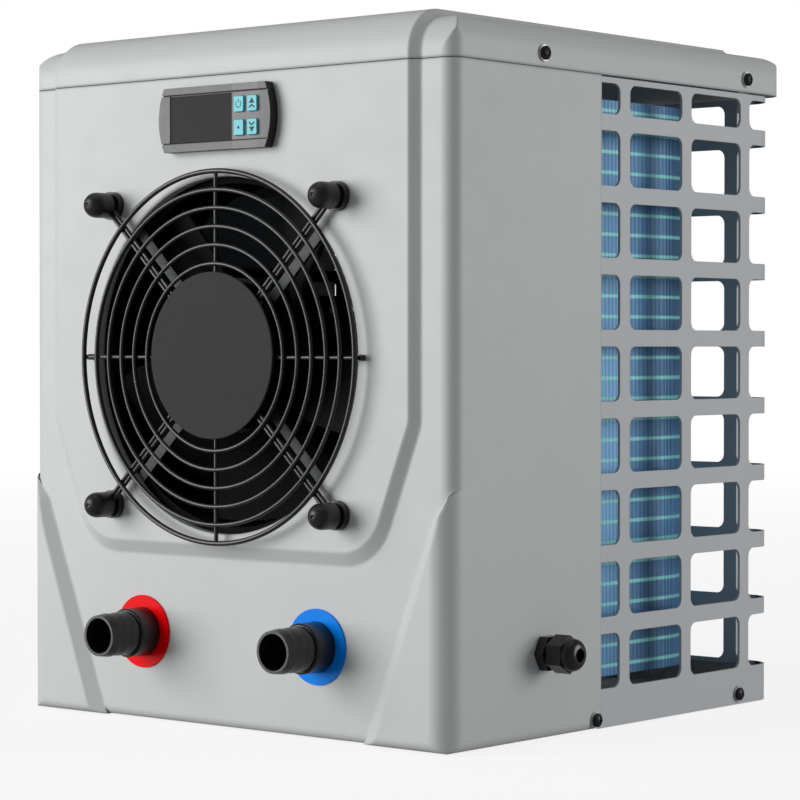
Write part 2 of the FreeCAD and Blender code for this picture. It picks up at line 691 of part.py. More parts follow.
def guard_seat(angle, y):
    """Point on the axis of the stud at an angle round the fan."""
    reach = STUD_OFFSET * math.sqrt(2.0)
    turn = math.radians(angle)
    return (CENTRE_X + reach * math.cos(turn), y, FAN_Z + reach * math.sin(turn))


def motor_bracket():
    """Four flat arms with round ends on the studs, joined at the motor's mounting disc."""
    y0, y1 = ARM_Y
    parts = [cyl(31.0, (CENTRE_X, y0, FAN_Z), (CENTRE_X, y1, FAN_Z))]
    reach = STUD_OFFSET * math.sqrt(2.0)
    for angle in (45.0, 135.0, 225.0, 315.0):
        arm = box(20.0, reach, y0, y1, -ARM_W / 2.0, ARM_W / 2.0)
        arm.rotate(V(0, 0, 0), V(0, 1, 0), -angle)
        arm.translate(V(CENTRE_X, 0, FAN_Z))
        parts.append(arm)
        parts.append(cyl(ARM_END_R, guard_seat(angle, y0), guard_seat(angle, y1)))
    holes = [cyl(STUD_R + 0.15, (x, -156.0, z), (x, -140.0, z)) for x, z in stud_points()]
    holes.append(cyl(9.0, (CENTRE_X, -156.0, FAN_Z), (CENTRE_X, -140.0, FAN_Z)))
    return fuse(parts).cut(group(holes))


def motor_stator():
    """Flanged boss that carries both bearings, and the wound core around it."""
    flange = cyl(26.0, (CENTRE_X, -147.2, FAN_Z), (CENTRE_X, -144.2, FAN_Z))
    boss = cyl(15.0, (CENTRE_X, -145.0, FAN_Z), (CENTRE_X, -114.5, FAN_Z))
    core = cyl(32.0, (CENTRE_X, -138.0, FAN_Z), (CENTRE_X, -118.0, FAN_Z))
    solid = fuse([flange, boss, core])
    slots = []
    for i in range(12):
        slot = box(20.0, 40.0, -139.0, -117.0, -1.2, 1.2)
        slot.rotate(V(0, 0, 0), V(0, 1, 0), 30.0 * i)
        slot.translate(V(CENTRE_X, 0, FAN_Z))
        slots.append(slot)
    seats = [cyl(11.0, (CENTRE_X, -148.0, FAN_Z), (CENTRE_X, -140.0, FAN_Z)),
             cyl(11.0, (CENTRE_X, -121.5, FAN_Z), (CENTRE_X, -113.0, FAN_Z)),
             cyl(7.0, (CENTRE_X, -148.0, FAN_Z), (CENTRE_X, -113.0, FAN_Z))]
    return solid.cut(group(slots)).cut(fuse(seats))


def motor_bearings():
    bearings = []
    for y0, y1 in ((-147.0, -140.05), (-121.4, -114.4)):
        bearings.append(tube(10.97, SHAFT_R + RUNNING_GAP, (CENTRE_X, y0, FAN_Z), (CENTRE_X, y1, FAN_Z)))
    return group(bearings)


def fan_shaft():
    shaft = cyl(SHAFT_R, (CENTRE_X, -147.0, FAN_Z), (CENTRE_X, -103.0, FAN_Z))
    return shaft


def blade(angle):
    """One swept blade: three flat sections lofted, trimmed to the rotor and the tip circle."""
    sections = []
    stations = ((36.0, 44.0, 38.0, -4.0), (64.0, 66.0, 30.0, 2.0), (96.0, 84.0, 24.0, 12.0))
    for radius, chord, pitch, lead in stations:
        turn = math.radians(pitch)
        half = chord / 2.0
        along = (math.cos(turn), math.sin(turn))
        normal = (-along[1], along[0])
        thick = 1.0
        corners = []
        for s, n in ((-half, -thick), (half, -thick), (half, thick), (-half, thick)):
            u = lead + along[0] * s + normal[0] * n
            w = along[1] * s + normal[1] * n
            corners.append(V(radius, -126.0 + w, u))
        corners.append(corners[0])
        sections.append(Part.makePolygon(corners))
    solid = Part.makeLoft(sections, True, False)
    solid.rotate(V(0, 0, 0), V(0, 1, 0), angle)
    solid.translate(V(CENTRE_X, 0, FAN_Z))
    return solid


def fan_impeller():
    """External rotor cup with five blades; it closes behind the motor."""
    cup = tube(ROTOR_R, ROTOR_R - 2.5, (CENTRE_X, -143.0, FAN_Z), (CENTRE_X, -106.0, FAN_Z))
    end = cyl(ROTOR_R, (CENTRE_X, -108.5, FAN_Z), (CENTRE_X, -106.0, FAN_Z))
    boss = cyl(9.0, (CENTRE_X, -113.5, FAN_Z), (CENTRE_X, -104.0, FAN_Z))
    blades = [blade(360.0 / BLADE_COUNT * i + 10.0) for i in range(BLADE_COUNT)]
    zone = tube(BLADE_R, ROTOR_R - 1.0, (CENTRE_X, -145.0, FAN_Z), (CENTRE_X, -106.5, FAN_Z))
    blades = [b.common(zone) for b in blades]
    solid = cup.multiFuse([end, boss] + blades)
    return solid.cut(cyl(SHAFT_R + 0.01, (CENTRE_X, -150.0, FAN_Z), (CENTRE_X, -100.0, FAN_Z)))


# ------------------------------------------------------------------ controller
def controller_bezel():
    x0, x1 = BEZEL_X
    z0, z1 = BEZEL_Z
    mid = 0.5 * (z0 + z1)
    cheek_x = 4.0
    left = Part.Arc(V(x0 + cheek_x, BEZEL_Y, z0), V(x0, BEZEL_Y, mid), V(x0 + cheek_x, BEZEL_Y, z1)).toShape()
    right = Part.Arc(V(x1 - cheek_x, BEZEL_Y, z1), V(x1, BEZEL_Y, mid),
                     V(x1 - cheek_x, BEZEL_Y, z0)).toShape()
    top = Part.makeLine(V(x0 + cheek_x, BEZEL_Y, z1), V(x1 - cheek_x, BEZEL_Y, z1))
    bottom = Part.makeLine(V(x1 - cheek_x, BEZEL_Y, z0), V(x0 + cheek_x, BEZEL_Y, z0))
    outline = Part.Wire([left, top, right, bottom])
    body = Part.Face(outline).extrude(V(0, PANEL_Y - BEZEL_Y - 0.05, 0))
    face = box(x0 + 8.6, x1 - 2.0, BEZEL_Y - 1.0, BEZEL_Y + 0.8, z0 + 4.8, z1 - 4.3)
    grooves = [box(x0 - 1.0, x1 + 1.0, BEZEL_Y - 1.0, BEZEL_Y + 1.2, z - 0.35, z + 0.35)
               for z in (z0 + 4.6, z1 - 4.1)]
    window = box(-34.1, 10.4, BEZEL_Y - 2.0, BEZEL_Y + 2.4, 317.7, 342.9)
    sight = box(-31.0, 7.5, BEZEL_Y - 2.0, PANEL_Y + 2.0, 320.5, 340.0)
    back = box(x0 + 7.5, x1 - 7.5, PANEL_Y - 3.6, PANEL_Y + 2.0, z0 + 4.5, z1 - 4.5)
    cuts = [face, window, sight, back] + grooves
    for x in KEY_X:
        for z in KEY_Z:
            half_w = KEY_W / 2.0 + KEY_FIT
            half_h = KEY_H / 2.0 + KEY_FIT
            cuts.append(rounded_box(x - half_w, x + half_w, BEZEL_Y - 2.0, PANEL_Y + 2.0,
                                    z - half_h, z + half_h, "y", 0.9))
    return body.cut(fuse(cuts))


def display_window():
    return rounded_box(-34.0, 10.3, BEZEL_Y + 0.9, BEZEL_Y + 2.35, 317.8, 342.8, "y", 0.6)


def controller_key(x, z):
    """Key cap with a flange behind the bezel face and a short plunger above its switch."""
    cap = rounded_box(x - KEY_W / 2.0, x + KEY_W / 2.0, BEZEL_Y - 0.5, BEZEL_Y + 3.0,
                      z - KEY_H / 2.0, z + KEY_H / 2.0, "y", 0.7)
    flange = box(x - 4.3, x + 4.3, BEZEL_Y + 2.45, BEZEL_Y + 3.25, z - 4.9, z + 4.9)
    plunger = cyl(1.6, (x, BEZEL_Y + 3.2, z), (x, BEZEL_Y + 5.7, z))
    return fuse([cap, flange, plunger])


def controller_body():
    """Open-fronted housing that passes through the panel, with a clip on each side."""
    x0, x1 = BEZEL_X[0] + 5.8, BEZEL_X[1] - 5.8
    z0, z1 = BEZEL_Z[0] + 3.1, BEZEL_Z[1] - 3.1
    housing = box(x0, x1, PANEL_Y + 0.05, -98.0, z0, z1)
    hollow = box(x0 + 1.5, x1 - 1.5, PANEL_Y - 1.0, -99.5, z0 + 1.5, z1 - 1.5)
    clips = [box(x0 - 2.5, x0 + 0.5, -153.6, -142.0, 324.0, 336.0),
             box(x1 - 0.5, x1 + 2.5, -153.6, -142.0, 324.0, 336.0)]
    return fuse([housing] + clips).cut(hollow)


def controller_board():
    """Front board with four tact switches and the display, and a main board behind it."""
    x0, x1 = BEZEL_X[0] + 7.6, BEZEL_X[1] - 7.6
    z0, z1 = BEZEL_Z[0] + 4.8, BEZEL_Z[1] - 4.8
    front = box(x0, x1, PANEL_Y + 1.4, PANEL_Y + 3.0, z0, z1)
    parts = [front, box(x0 + 2.0, x1 - 2.0, PANEL_Y + 2.5, -104.0, 322.0, 323.6)]
    for x in KEY_X:
        for z in KEY_Z:
            parts.append(box(x - 3.0, x + 3.0, PANEL_Y + 0.4, PANEL_Y + 1.6, z - 3.0, z + 3.0))
    parts.append(box(-30.0, 6.5, PANEL_Y - 2.6, PANEL_Y + 1.6, 321.5, 339.0))
    parts.append(box(-28.0, -8.0, -140.0, -118.0, 323.0, 337.0))
    parts.append(box(5.0, 20.0, -138.0, -122.0, 323.0, 335.0))
    return fuse(parts)


# ------------------------------------------------------------------ water side
def hose_tail(x):
    """Hose tail with three ribs, a collar and a plain spigot that seals in the tank's port."""
    z = PORT_Z
    profile = [(TAIL_BORE_R, TAIL_TIP_Y), (TAIL_R, TAIL_TIP_Y)]
    for end in RIB_ENDS:
        profile += [(RIB_R, end - RIB_LAND), (RIB_R, end), (TAIL_R, end + 0.7)]
    profile += [
        (TAIL_R, -165.4), (COLLAR_R - 0.9, -165.4), (COLLAR_R, -164.6), (COLLAR_R, -151.05),
        (12.4, -151.05), (12.4, -136.0), (10.4, -135.0), (TAIL_BORE_R, -135.0),
    ]
    points = [V(x + r, y, z) for r, y in profile]
    points.append(points[0])
    face = Part.Face(Part.makePolygon(points))
    solid = face.revolve(V(x, 0, z), V(0, 1, 0), 360.0)
    groove = tube(13.5, 10.9, (x, -144.0, z), (x, -141.4, z))
    return solid.cut(groove)


def port_ring(x):
    return tube(PORT_RING_R, COLLAR_R + 0.1, (x, FRONT_Y - 0.02, PORT_Z), (x, FRONT_Y - 1.0, PORT_Z))


def tail_o_rings():
    return group([ring(11.9, 0.98, (x, -142.7, PORT_Z), (0, 1, 0)) for x in PORT_X])


def exchanger_tank():
    """Horizontal water shell with two front ports and a socket on top for the flow switch."""
    x0, x1 = TANK_X
    parts = [cyl(TANK_R, (x0, TANK_Y, TANK_Z), (x1, TANK_Y, TANK_Z))]
    for x in PORT_X:
        parts.append(cyl(16.5, (x, -149.0, TANK_Z), (x, -110.0, TANK_Z)))
    parts.append(cyl(13.0, (PORT_X[1], TANK_Y, 60.0), (PORT_X[1], TANK_Y, 90.0)))
    solid = fuse(parts)
    bore = [cyl(TANK_R - TANK_WALL, (x0 - 1.0, TANK_Y, TANK_Z), (x1 + 1.0, TANK_Y, TANK_Z))]
    for x in PORT_X:
        bore.append(cyl(12.9, (x, -150.0, TANK_Z), (x, -134.5, TANK_Z)))
        bore.append(cyl(10.0, (x, -150.0, TANK_Z), (x, -110.0, TANK_Z)))
    bore.append(cyl(9.05, (PORT_X[1], TANK_Y, 60.0), (PORT_X[1], TANK_Y, 95.0)))
    return solid.cut(fuse(bore))


def tube_spots():
    """Six titanium passes, in running order, as (y, z)."""
    spots = []
    for i in range(6):
        turn = math.radians(60.0 * i)
        spots.append((TANK_Y + 20.0 * math.cos(turn), TANK_Z + 20.0 * math.sin(turn)))
    return spots


def exchanger_caps():
    """Screwed end caps; the left one lets both titanium tube ends out."""
    caps = []
    for x, outward in ((TANK_X[0], -1), (TANK_X[1], 1)):
        rim = tube(TANK_R + 3.0, TANK_R + 0.1, (x - outward * 12.0, TANK_Y, TANK_Z), (x, TANK_Y, TANK_Z))
        wall = cyl(TANK_R + 3.0, (x + outward * 0.05, TANK_Y, TANK_Z), (x + outward * 4.0, TANK_Y, TANK_Z))
        hub = cyl(24.0, (x + outward * 3.0, TANK_Y, TANK_Z), (x + outward * 7.0, TANK_Y, TANK_Z))
        skirt = tube(TANK_R + 3.0, TANK_R + 0.1, (x, TANK_Y, TANK_Z), (x + outward * 1.0, TANK_Y, TANK_Z))
        cap = fuse([rim, skirt, wall, hub])
        if outward < 0:
            for y, z in (tube_spots()[0], tube_spots()[5]):
                cap = cap.cut(cyl(5.1, (x - 20.0, y, z), (x + 10.0, y, z)))
        caps.append(cap)
    return group(caps)


def titanium_tube():
    """One continuous tube of six straight passes joined by end bends."""
    spots = tube_spots()
    near = TANK_X[0] + 19.0
    far = TANK_X[1] - 19.0
    bend = 10.0
    edges = []
    for i, (y, z) in enumerate(spots):
        forward = i % 2 == 0
        start_x = near if forward else far
        end_x = far if forward else near
        if i == 0:
            start_x = TANK_X[0] - 16.0
        if i == 5:
            end_x = TANK_X[0] - 16.0
        edges.append(Part.makeLine(V(start_x, y, z), V(end_x, y, z)))
        if i < 5:
            next_y, next_z = spots[i + 1]
            peak = end_x + (bend if forward else -bend)
            edges.append(Part.Arc(V(end_x, y, z), V(peak, 0.5 * (y + next_y), 0.5 * (z + next_z)),
                                  V(end_x, next_y, next_z)).toShape())
    return sweep(Part.Wire(edges), 5.0)


def exchanger_saddles():
    saddles = []
    for x in (-30.0, 30.0):
        block = box(x - 6.0, x + 6.0, TANK_Y - 30.0, TANK_Y + 30.0, 5.55, 32.0)
        saddles.append(block.cut(cyl(TANK_R + 0.1, (x - 8.0, TANK_Y, TANK_Z), (x + 8.0, TANK_Y, TANK_Z))))
    return group(saddles)


def flow_switch_body():
    """Switch housing on a plug, with a forked end that carries the paddle's pin."""
    x = PORT_X[1]
    plug = cyl(9.0, (x, TANK_Y, 82.0), (x, TANK_Y, 92.0))
    flange = cyl(12.0, (x, TANK_Y, 90.1), (x, TANK_Y, 94.0))
    housing = rounded_box(x - 11.0, x + 11.0, TANK_Y - 9.0, TANK_Y + 9.0, 94.0, 116.0, "z", 2.0)
    stem = cyl(6.0, (x, TANK_Y, 93.0), (x, TANK_Y, 95.0))
    ears = [box(x - 3.0, x + 3.0, TANK_Y - 5.0, TANK_Y - 3.5, 76.5, 83.0),
            box(x - 3.0, x + 3.0, TANK_Y + 3.5, TANK_Y + 5.0, 76.5, 83.0)]
    pin = cyl(0.8, (x, TANK_Y - 4.5, VANE_Z), (x, TANK_Y + 4.5, VANE_Z))
    return fuse([plug, flange, stem, housing, pin] + ears)


def flow_paddle():
    x = PORT_X[1]
    eye = cyl(1.8, (x, TANK_Y - 3.2, VANE_Z), (x, TANK_Y + 3.2, VANE_Z))
    vane = box(x - 0.5, x + 0.5, TANK_Y - 3.2, TANK_Y + 3.2, 72.6, 78.5)
    return fuse([eye, vane]).cut(cyl(0.85, (x, TANK_Y - 6.0, VANE_Z), (x, TANK_Y + 6.0, VANE_Z)))


# ------------------------------------------------------------------ cable gland
def gland_axis(x):
    return (x, GLAND_Y, GLAND_Z)


def gland_body():
    base = hexagon(GLAND_AF, (GLAND_Y, GLAND_Z), "x", HALF_W + 0.05, HALF_W + 5.6, True)
    thread = cyl(7.6, gland_axis(141.0), gland_axis(HALF_W + 2.0))
    neck = cyl(6.9, gland_axis(HALF_W + 5.0), gland_axis(HALF_W + 14.0))
    return fuse([base, thread, neck]).cut(cyl(4.6, gland_axis(140.0), gland_axis(HALF_W + 15.0)))


def gland_dome_nut():
    start = HALF_W + 6.8
    hex_end = HALF_W + 16.3
    tip = HALF_W + GLAND_REACH
    nut = hexagon(GLAND_AF, (GLAND_Y, GLAND_Z), "x", start, hex_end, False)
    dome = cyl(8.6, gland_axis(start), gland_axis(tip))
    round_edge = [e for e in dome.Edges
                  if e.Curve.TypeId == "Part::GeomCircle" and abs(e.Curve.Center.x - tip) < 0.01]
    dome = dome.makeFillet(4.9, round_edge)
    solid = fuse([nut, dome])
    solid = solid.cut(cyl(7.0, gland_axis(start - 1.0), gland_axis(HALF_W + 18.0)))
    return solid.cut(cyl(GLAND_HOLE_R, gland_axis(start - 1.0), gland_axis(tip + 1.0)))


def gland_seal():
    return tube(6.9, GLAND_HOLE_R + 0.1, gland_axis(HALF_W + 14.05), gland_axis(HALF_W + 17.95))


def gland_locknut():
    nut = hexagon(18.0, (GLAND_Y, GLAND_Z), "x", 148.4, 153.4, True)
    return nut.cut(cyl(7.63, gland_axis(147.0), gland_axis(155.0)))


# ------------------------------------------------------------------ evaporator
def coil_wire(x_line, y_line, bend, z, front, left):
    """Plan path of one tube or face: along the side, round the corner, along the rear."""
    centre = V(x_line - bend, y_line - bend, z)
    middle = centre + V(bend, bend, 0) * math.sqrt(0.5)
    start = V(x_line, y_line - bend, z)
    end = V(x_line - bend, y_line, z)
    return [
        Part.makeLine(V(x_line, front, z), start),
        Part.Arc(start, middle, end).toShape(),
        Part.makeLine(end, V(left, y_line, z)),
    ]


def coil_middle():
    half = COIL_DEPTH / 2.0
    return COIL_X - half, COIL_Y - half, COIL_BEND_R - half


def tube_height(index):
    return TUBE_Z + TUBE_PITCH * index


def bend_pack(index, low, high):
    """One wedge of the fin pack round the corner of the coil."""
    step = 90.0 / BEND_PACKS
    centre = V(COIL_X - COIL_BEND_R, COIL_Y - COIL_BEND_R, low)

    def at(radius, degrees):
        turn = math.radians(degrees)
        return centre + V(radius * math.cos(turn), radius * math.sin(turn), 0)
    first = step * index
    last = first + step
    middle = 0.5 * (first + last)
    inner_r = COIL_BEND_R - COIL_DEPTH
    edges = [
        Part.makeLine(at(inner_r, first), at(COIL_BEND_R, first)),
        Part.Arc(at(COIL_BEND_R, first), at(COIL_BEND_R, middle), at(COIL_BEND_R, last)).toShape(),
        Part.makeLine(at(COIL_BEND_R, last), at(inner_r, last)),
        Part.Arc(at(inner_r, last), at(inner_r, middle), at(inner_r, first)).toShape(),
    ]
    return Part.Face(Part.Wire(edges)).extrude(V(0, 0, high - low))


def evaporator_fins():
    """Fin packs in an L: the side leg, wedges round the corner and the rear leg, with tube channels."""
    low = TUBE_Z - TUBE_PITCH / 2.0
    high = tube_height(TUBE_COUNT - 1) + TUBE_PITCH / 2.0
    packs = [
        box(COIL_X - COIL_DEPTH, COIL_X, COIL_FRONT_Y, COIL_Y - COIL_BEND_R, low, high),
        box(COIL_LEFT_X, COIL_X - COIL_BEND_R, COIL_Y - COIL_DEPTH, COIL_Y, low, high),
    ]
    packs += [bend_pack(i, low, high) for i in range(BEND_PACKS)]
    x_line, y_line, bend = coil_middle()
    path = coil_wire(x_line, y_line, bend, TUBE_Z, COIL_FRONT_Y - 1.0, COIL_LEFT_X - 1.0)
    channel = sweep(Part.Wire(path), TUBE_R + 0.05)
    tools = []
    for i in range(TUBE_COUNT):
        tool = channel.copy()
        tool.translate(V(0, 0, TUBE_PITCH * i))
        tools.append(tool)
    return group([pack.cut(group(tools)) for pack in packs])


def evaporator_hairpins():
    """Hairpin tubes: two passes joined by a bend at the front end of the coil."""
    x_line, y_line, bend = coil_middle()
    front = COIL_FRONT_Y - PLATE - 1.0
    left = COIL_LEFT_X - PLATE - 1.0
    half = TUBE_PITCH / 2.0
    upper = coil_wire(x_line, y_line, bend, TUBE_Z + TUBE_PITCH, front, left)
    lower = coil_wire(x_line, y_line, bend, TUBE_Z, front, left)
    turn = Part.Arc(V(x_line, front, TUBE_Z), V(x_line, front - half, TUBE_Z + half),
                    V(x_line, front, TUBE_Z + TUBE_PITCH)).toShape()
    edges = Part.__sortEdges__(lower + [turn] + upper)
    hairpin = sweep(Part.Wire(edges), TUBE_R)
    tubes = []
    for i in range(TUBE_COUNT // 2):
        piece = hairpin.copy()
        piece.translate(V(0, 0, 2.0 * TUBE_PITCH * i))
        tubes.append(piece)
    return group(tubes)


def evaporator_return_bends():
    """Return bends brazed on at the left end; the lowest and highest tubes stay open."""
    x_line, y_line, bend = coil_middle()
    left = COIL_LEFT_X - PLATE - 1.02
    half = TUBE_PITCH / 2.0
    bends = []
    for i in range(1, TUBE_COUNT - 1, 2):
        z = tube_height(i)
        arc = Part.Arc(V(left, y_line, z), V(left - half, y_line, z + half), V(left, y_line, z + TUBE_PITCH))
        bends.append(sweep(Part.Wire([arc.toShape()]), TUBE_R))
    return group(bends)


def evaporator_end_plates():
    """A holed plate at each end of the fin pack, standing on the tray."""
    x_line, y_line, bend = coil_middle()
    top = tube_height(TUBE_COUNT - 1) + 8.0
    front = box(COIL_X - COIL_DEPTH - 2.0, COIL_X + 2.0,
                COIL_FRONT_Y - PLATE - 0.05, COIL_FRONT_Y - 0.05, 5.55, top)
    left = box(COIL_LEFT_X - PLATE - 0.05, COIL_LEFT_X - 0.05,
               COIL_Y - COIL_DEPTH - 2.0, COIL_Y + 2.0, 5.55, top)
    front_holes = []
    left_holes = []
    for i in range(TUBE_COUNT):
        z = tube_height(i)
        front_holes.append(cyl(TUBE_R + 0.05, (x_line, COIL_FRONT_Y - 5.0, z),
                               (x_line, COIL_FRONT_Y + 5.0, z)))
        left_holes.append(cyl(TUBE_R + 0.05, (COIL_LEFT_X - 5.0, y_line, z), (COIL_LEFT_X + 5.0, y_line, z)))
    return group([front.cut(group(front_holes)), left.cut(group(left_holes))])


# ------------------------------------------------------------------ compressor and refrigerant circuit
def comp_axis(z):
    return (COMP_X, COMP_Y, z)


def grommet_points():
    points = []
    for angle in (90.0, 210.0, 330.0):
        turn = math.radians(angle)
        points.append((COMP_X + 60.0 * math.cos(turn), COMP_Y + 60.0 * math.sin(turn)))
    return points


def compressor_shell():
    """Welded steel can with domed ends and a three-lobed foot plate."""
    z0, z1 = COMP_Z
    outer = cyl(COMP_R, comp_axis(z0), comp_axis(z1))
    rims = [e for e in outer.Edges if e.Curve.TypeId == "Part::GeomCircle"]
    outer = outer.makeFillet(14.0, rims)
    inner = cyl(COMP_R - 3.0, comp_axis(z0 + 3.0), comp_axis(z1 - 3.0))
    rims = [e for e in inner.Edges if e.Curve.TypeId == "Part::GeomCircle"]
    inner = inner.makeFillet(11.0, rims)
    foot = cyl(34.0, comp_axis(19.0), comp_axis(23.0))
    parts = [outer, foot]
    for x, y in grommet_points():
        parts.append(cyl(9.5, (x, y, 19.0), (x, y, 22.0)))
        rib = box(0.0, 60.0, -9.5, 9.5, 19.0, 22.0)
        rib.rotate(V(0, 0, 0), V(0, 0, 1), math.degrees(math.atan2(y - COMP_Y, x - COMP_X)))
        rib.translate(V(COMP_X, COMP_Y, 0))
        parts.append(rib)
    parts.append(cyl(7.0, comp_axis(z1 - 4.0), comp_axis(z1 + 7.0)))
    solid = fuse(parts).cut(inner)
    holes = [cyl(4.2, comp_axis(z1 - 6.0), comp_axis(z1 + 8.0))]
    for x, y in grommet_points():
        holes.append(cyl(5.1, (x, y, 17.0), (x, y, 24.0)))
    corner, inlet = suction_points()[-2:]
    holes.append(cyl(5.1, corner, (0.5 * (inlet[0] + COMP_X), 0.5 * (inlet[1] + COMP_Y), inlet[2])))
    return solid.cut(group(holes))


def compressor_grommets():
    grommets = []
    for x, y in grommet_points():
        body = cyl(9.0, (x, y, 5.55), (x, y, 18.95))
        neck = cyl(5.0, (x, y, 18.0), (x, y, 22.1))
        cap = cyl(8.0, (x, y, 22.05), (x, y, 25.0))
        grommets.append(fuse([body, neck, cap]).cut(cyl(2.6, (x, y, 5.0), (x, y, 26.0))))
    return group(grommets)


def compressor_stator():
    """Wound motor core pressed in the upper half of the can."""
    core = tube(43.95, 25.0, comp_axis(120.0), comp_axis(180.0))
    winding = tube(37.0, 27.0, comp_axis(112.0), comp_axis(188.0))
    pump = tube(43.95, 10.05, comp_axis(46.0), comp_axis(72.0))
    return group([fuse([core, winding]), pump])


def compressor_crankshaft():
    shaft = cyl(10.0, comp_axis(42.0), comp_axis(190.0))
    rotor = cyl(24.0, comp_axis(122.0), comp_axis(178.0))
    return fuse([shaft, rotor])


def terminal_cover():
    x, y = COMP_X + 22.0, COMP_Y + 14.0
    cover = cyl(13.0, (x, y, COMP_Z[1] + 0.1), (x, y, COMP_Z[1] + 15.0))
    rims = [e for e in cover.Edges
            if e.Curve.TypeId == "Part::GeomCircle" and e.Curve.Center.z > COMP_Z[1] + 10.0]
    cover = cover.makeFillet(3.0, rims)
    return cover.cut(cyl(11.0, (x, y, COMP_Z[1]), (x, y, COMP_Z[1] + 13.0)))


def accumulator():
    """Suction accumulator, strapped beside the compressor."""
    can = cyl(23.0, (ACC_X, ACC_Y, 62.0), (ACC_X, ACC_Y, 178.0))
    rims = [e for e in can.Edges if e.Curve.TypeId == "Part::GeomCircle"]
    can = can.makeFillet(12.0, rims)
    can = can.cut(cyl(5.1, (ACC_X, ACC_Y, 60.0), (ACC_X, ACC_Y, 66.0)))
    return can.cut(cyl(4.1, (ACC_X, ACC_Y, 174.0), (ACC_X, ACC_Y, 180.0)))


def suction_points():
    """From the accumulator's base round to the side of the compressor."""
    direction = V(COMP_X - ACC_X, COMP_Y - ACC_Y, 0).normalize()
    end = V(COMP_X, COMP_Y, 44.0) - direction * (COMP_R - 2.5)
    return [(ACC_X, ACC_Y, 65.0), (ACC_X, ACC_Y, 44.0), (end.x, end.y, end.z)]


def suction_pipe():
    """Two runs: coil outlet to accumulator, accumulator to compressor."""
    x_line, y_line, bend = coil_middle()
    high = tube_height(TUBE_COUNT - 1)
    upper = [(COIL_LEFT_X - PLATE - 1.1, y_line, high), (-144.0, y_line, high), (-144.0, y_line, 236.0),
             (-144.0, ACC_Y, 236.0), (ACC_X, ACC_Y, 236.0), (ACC_X, ACC_Y, 175.0)]
    return group([pipe(upper, 4.0, 10.0), pipe(suction_points(), 5.0, 10.0)])


def discharge_pipe():
    y, z = tube_spots()[0]
    start = TANK_X[0] - 16.1
    points = [(COMP_X, COMP_Y, COMP_Z[1] - 4.0), (COMP_X, COMP_Y, 250.0), (COMP_X, y, 250.0),
              (COMP_X, y, 112.0), (-134.0, y, 112.0), (-134.0, y, z), (start, y, z)]
    return pipe(points, 4.0, 9.0)


def liquid_pipe():
    y, z = tube_spots()[5]
    start = TANK_X[0] - 16.1
    points = [(start, y, z), (-138.0, y, z), (-138.0, -63.0, z), (-138.0, -63.0, 48.0)]
    return pipe(points, 3.0, 9.0)


def filter_drier():
    x, y = -138.0, -63.0
    can = cyl(9.0, (x, y, 46.0), (x, y, 112.0))
    rims = [e for e in can.Edges if e.Curve.TypeId == "Part::GeomCircle"]
    can = can.makeFillet(4.0, rims)
    can = can.cut(cyl(3.1, (x, y, 45.0), (x, y, 49.0)))
    return can.cut(cyl(1.3, (x, y, 108.0), (x, y, 113.0)))


def capillary_tube():
    x_line, y_line, bend = coil_middle()
    points = [(-138.0, -63.0, 109.0), (-138.0, -63.0, 130.0), (-148.8, -63.0, 130.0),
              (-148.8, y_line, 130.0), (-148.8, y_line, TUBE_Z),
              (COIL_LEFT_X - PLATE - 1.1, y_line, TUBE_Z)]
    return pipe(points, 1.2, 5.0)


# ------------------------------------------------------------------ electrics
def electric_box():
    """Open tray above the fan's discharge space, hung from the casing by two flanges."""
    tray = box(-100.0, 98.0, -90.0, -22.0, 296.0, 346.0)
    tray = tray.cut(box(-98.5, 96.5, -88.5, -23.5, 297.5, 347.0))
    straps = [box(-100.0, -84.0, -149.2, -89.0, 344.5, 346.0),
              box(82.0, 98.0, -149.2, -89.0, 344.5, 346.0),
              box(-100.0, -84.0, -151.0, -149.45, 334.0, 346.0),
              box(82.0, 98.0, -151.0, -149.45, 334.0, 346.0),
              box(-100.0, -84.0, -149.6, -149.0, 344.5, 346.0),
              box(82.0, 98.0, -149.6, -149.0, 344.5, 346.0)]
    return fuse([tray] + straps)


def power_board():
    """Control board with relay, transformer, filter can and terminal strip."""
    board = box(-60.0, 92.0, -84.0, -28.0, 304.0, 305.6)
    parts = [board,
             box(-52.0, -24.0, -76.0, -50.0, 305.0, 327.0),
             box(-14.0, 5.0, -78.0, -60.0, 305.0, 321.0),
             box(12.0, 31.0, -78.0, -60.0, 305.0, 321.0),
             box(40.0, 88.0, -48.0, -34.0, 305.0, 319.0),
             cyl(9.0, (50.0, -70.0, 305.0), (50.0, -70.0, 330.0))]
    for x in (-56.0, 88.0):
        for y in (-80.0, -32.0):
            parts.append(cyl(2.5, (x, y, 297.55), (x, y, 304.5)))
    return fuse(parts)


def run_capacitor():
    can = cyl(16.0, (-80.0, -84.0, 316.0), (-80.0, -30.0, 316.0))
    posts = [box(-84.0, -82.0, -87.5, -83.0, 313.0, 319.0), box(-78.0, -76.0, -87.5, -83.0, 313.0, 319.0)]
    return fuse([can] + posts)


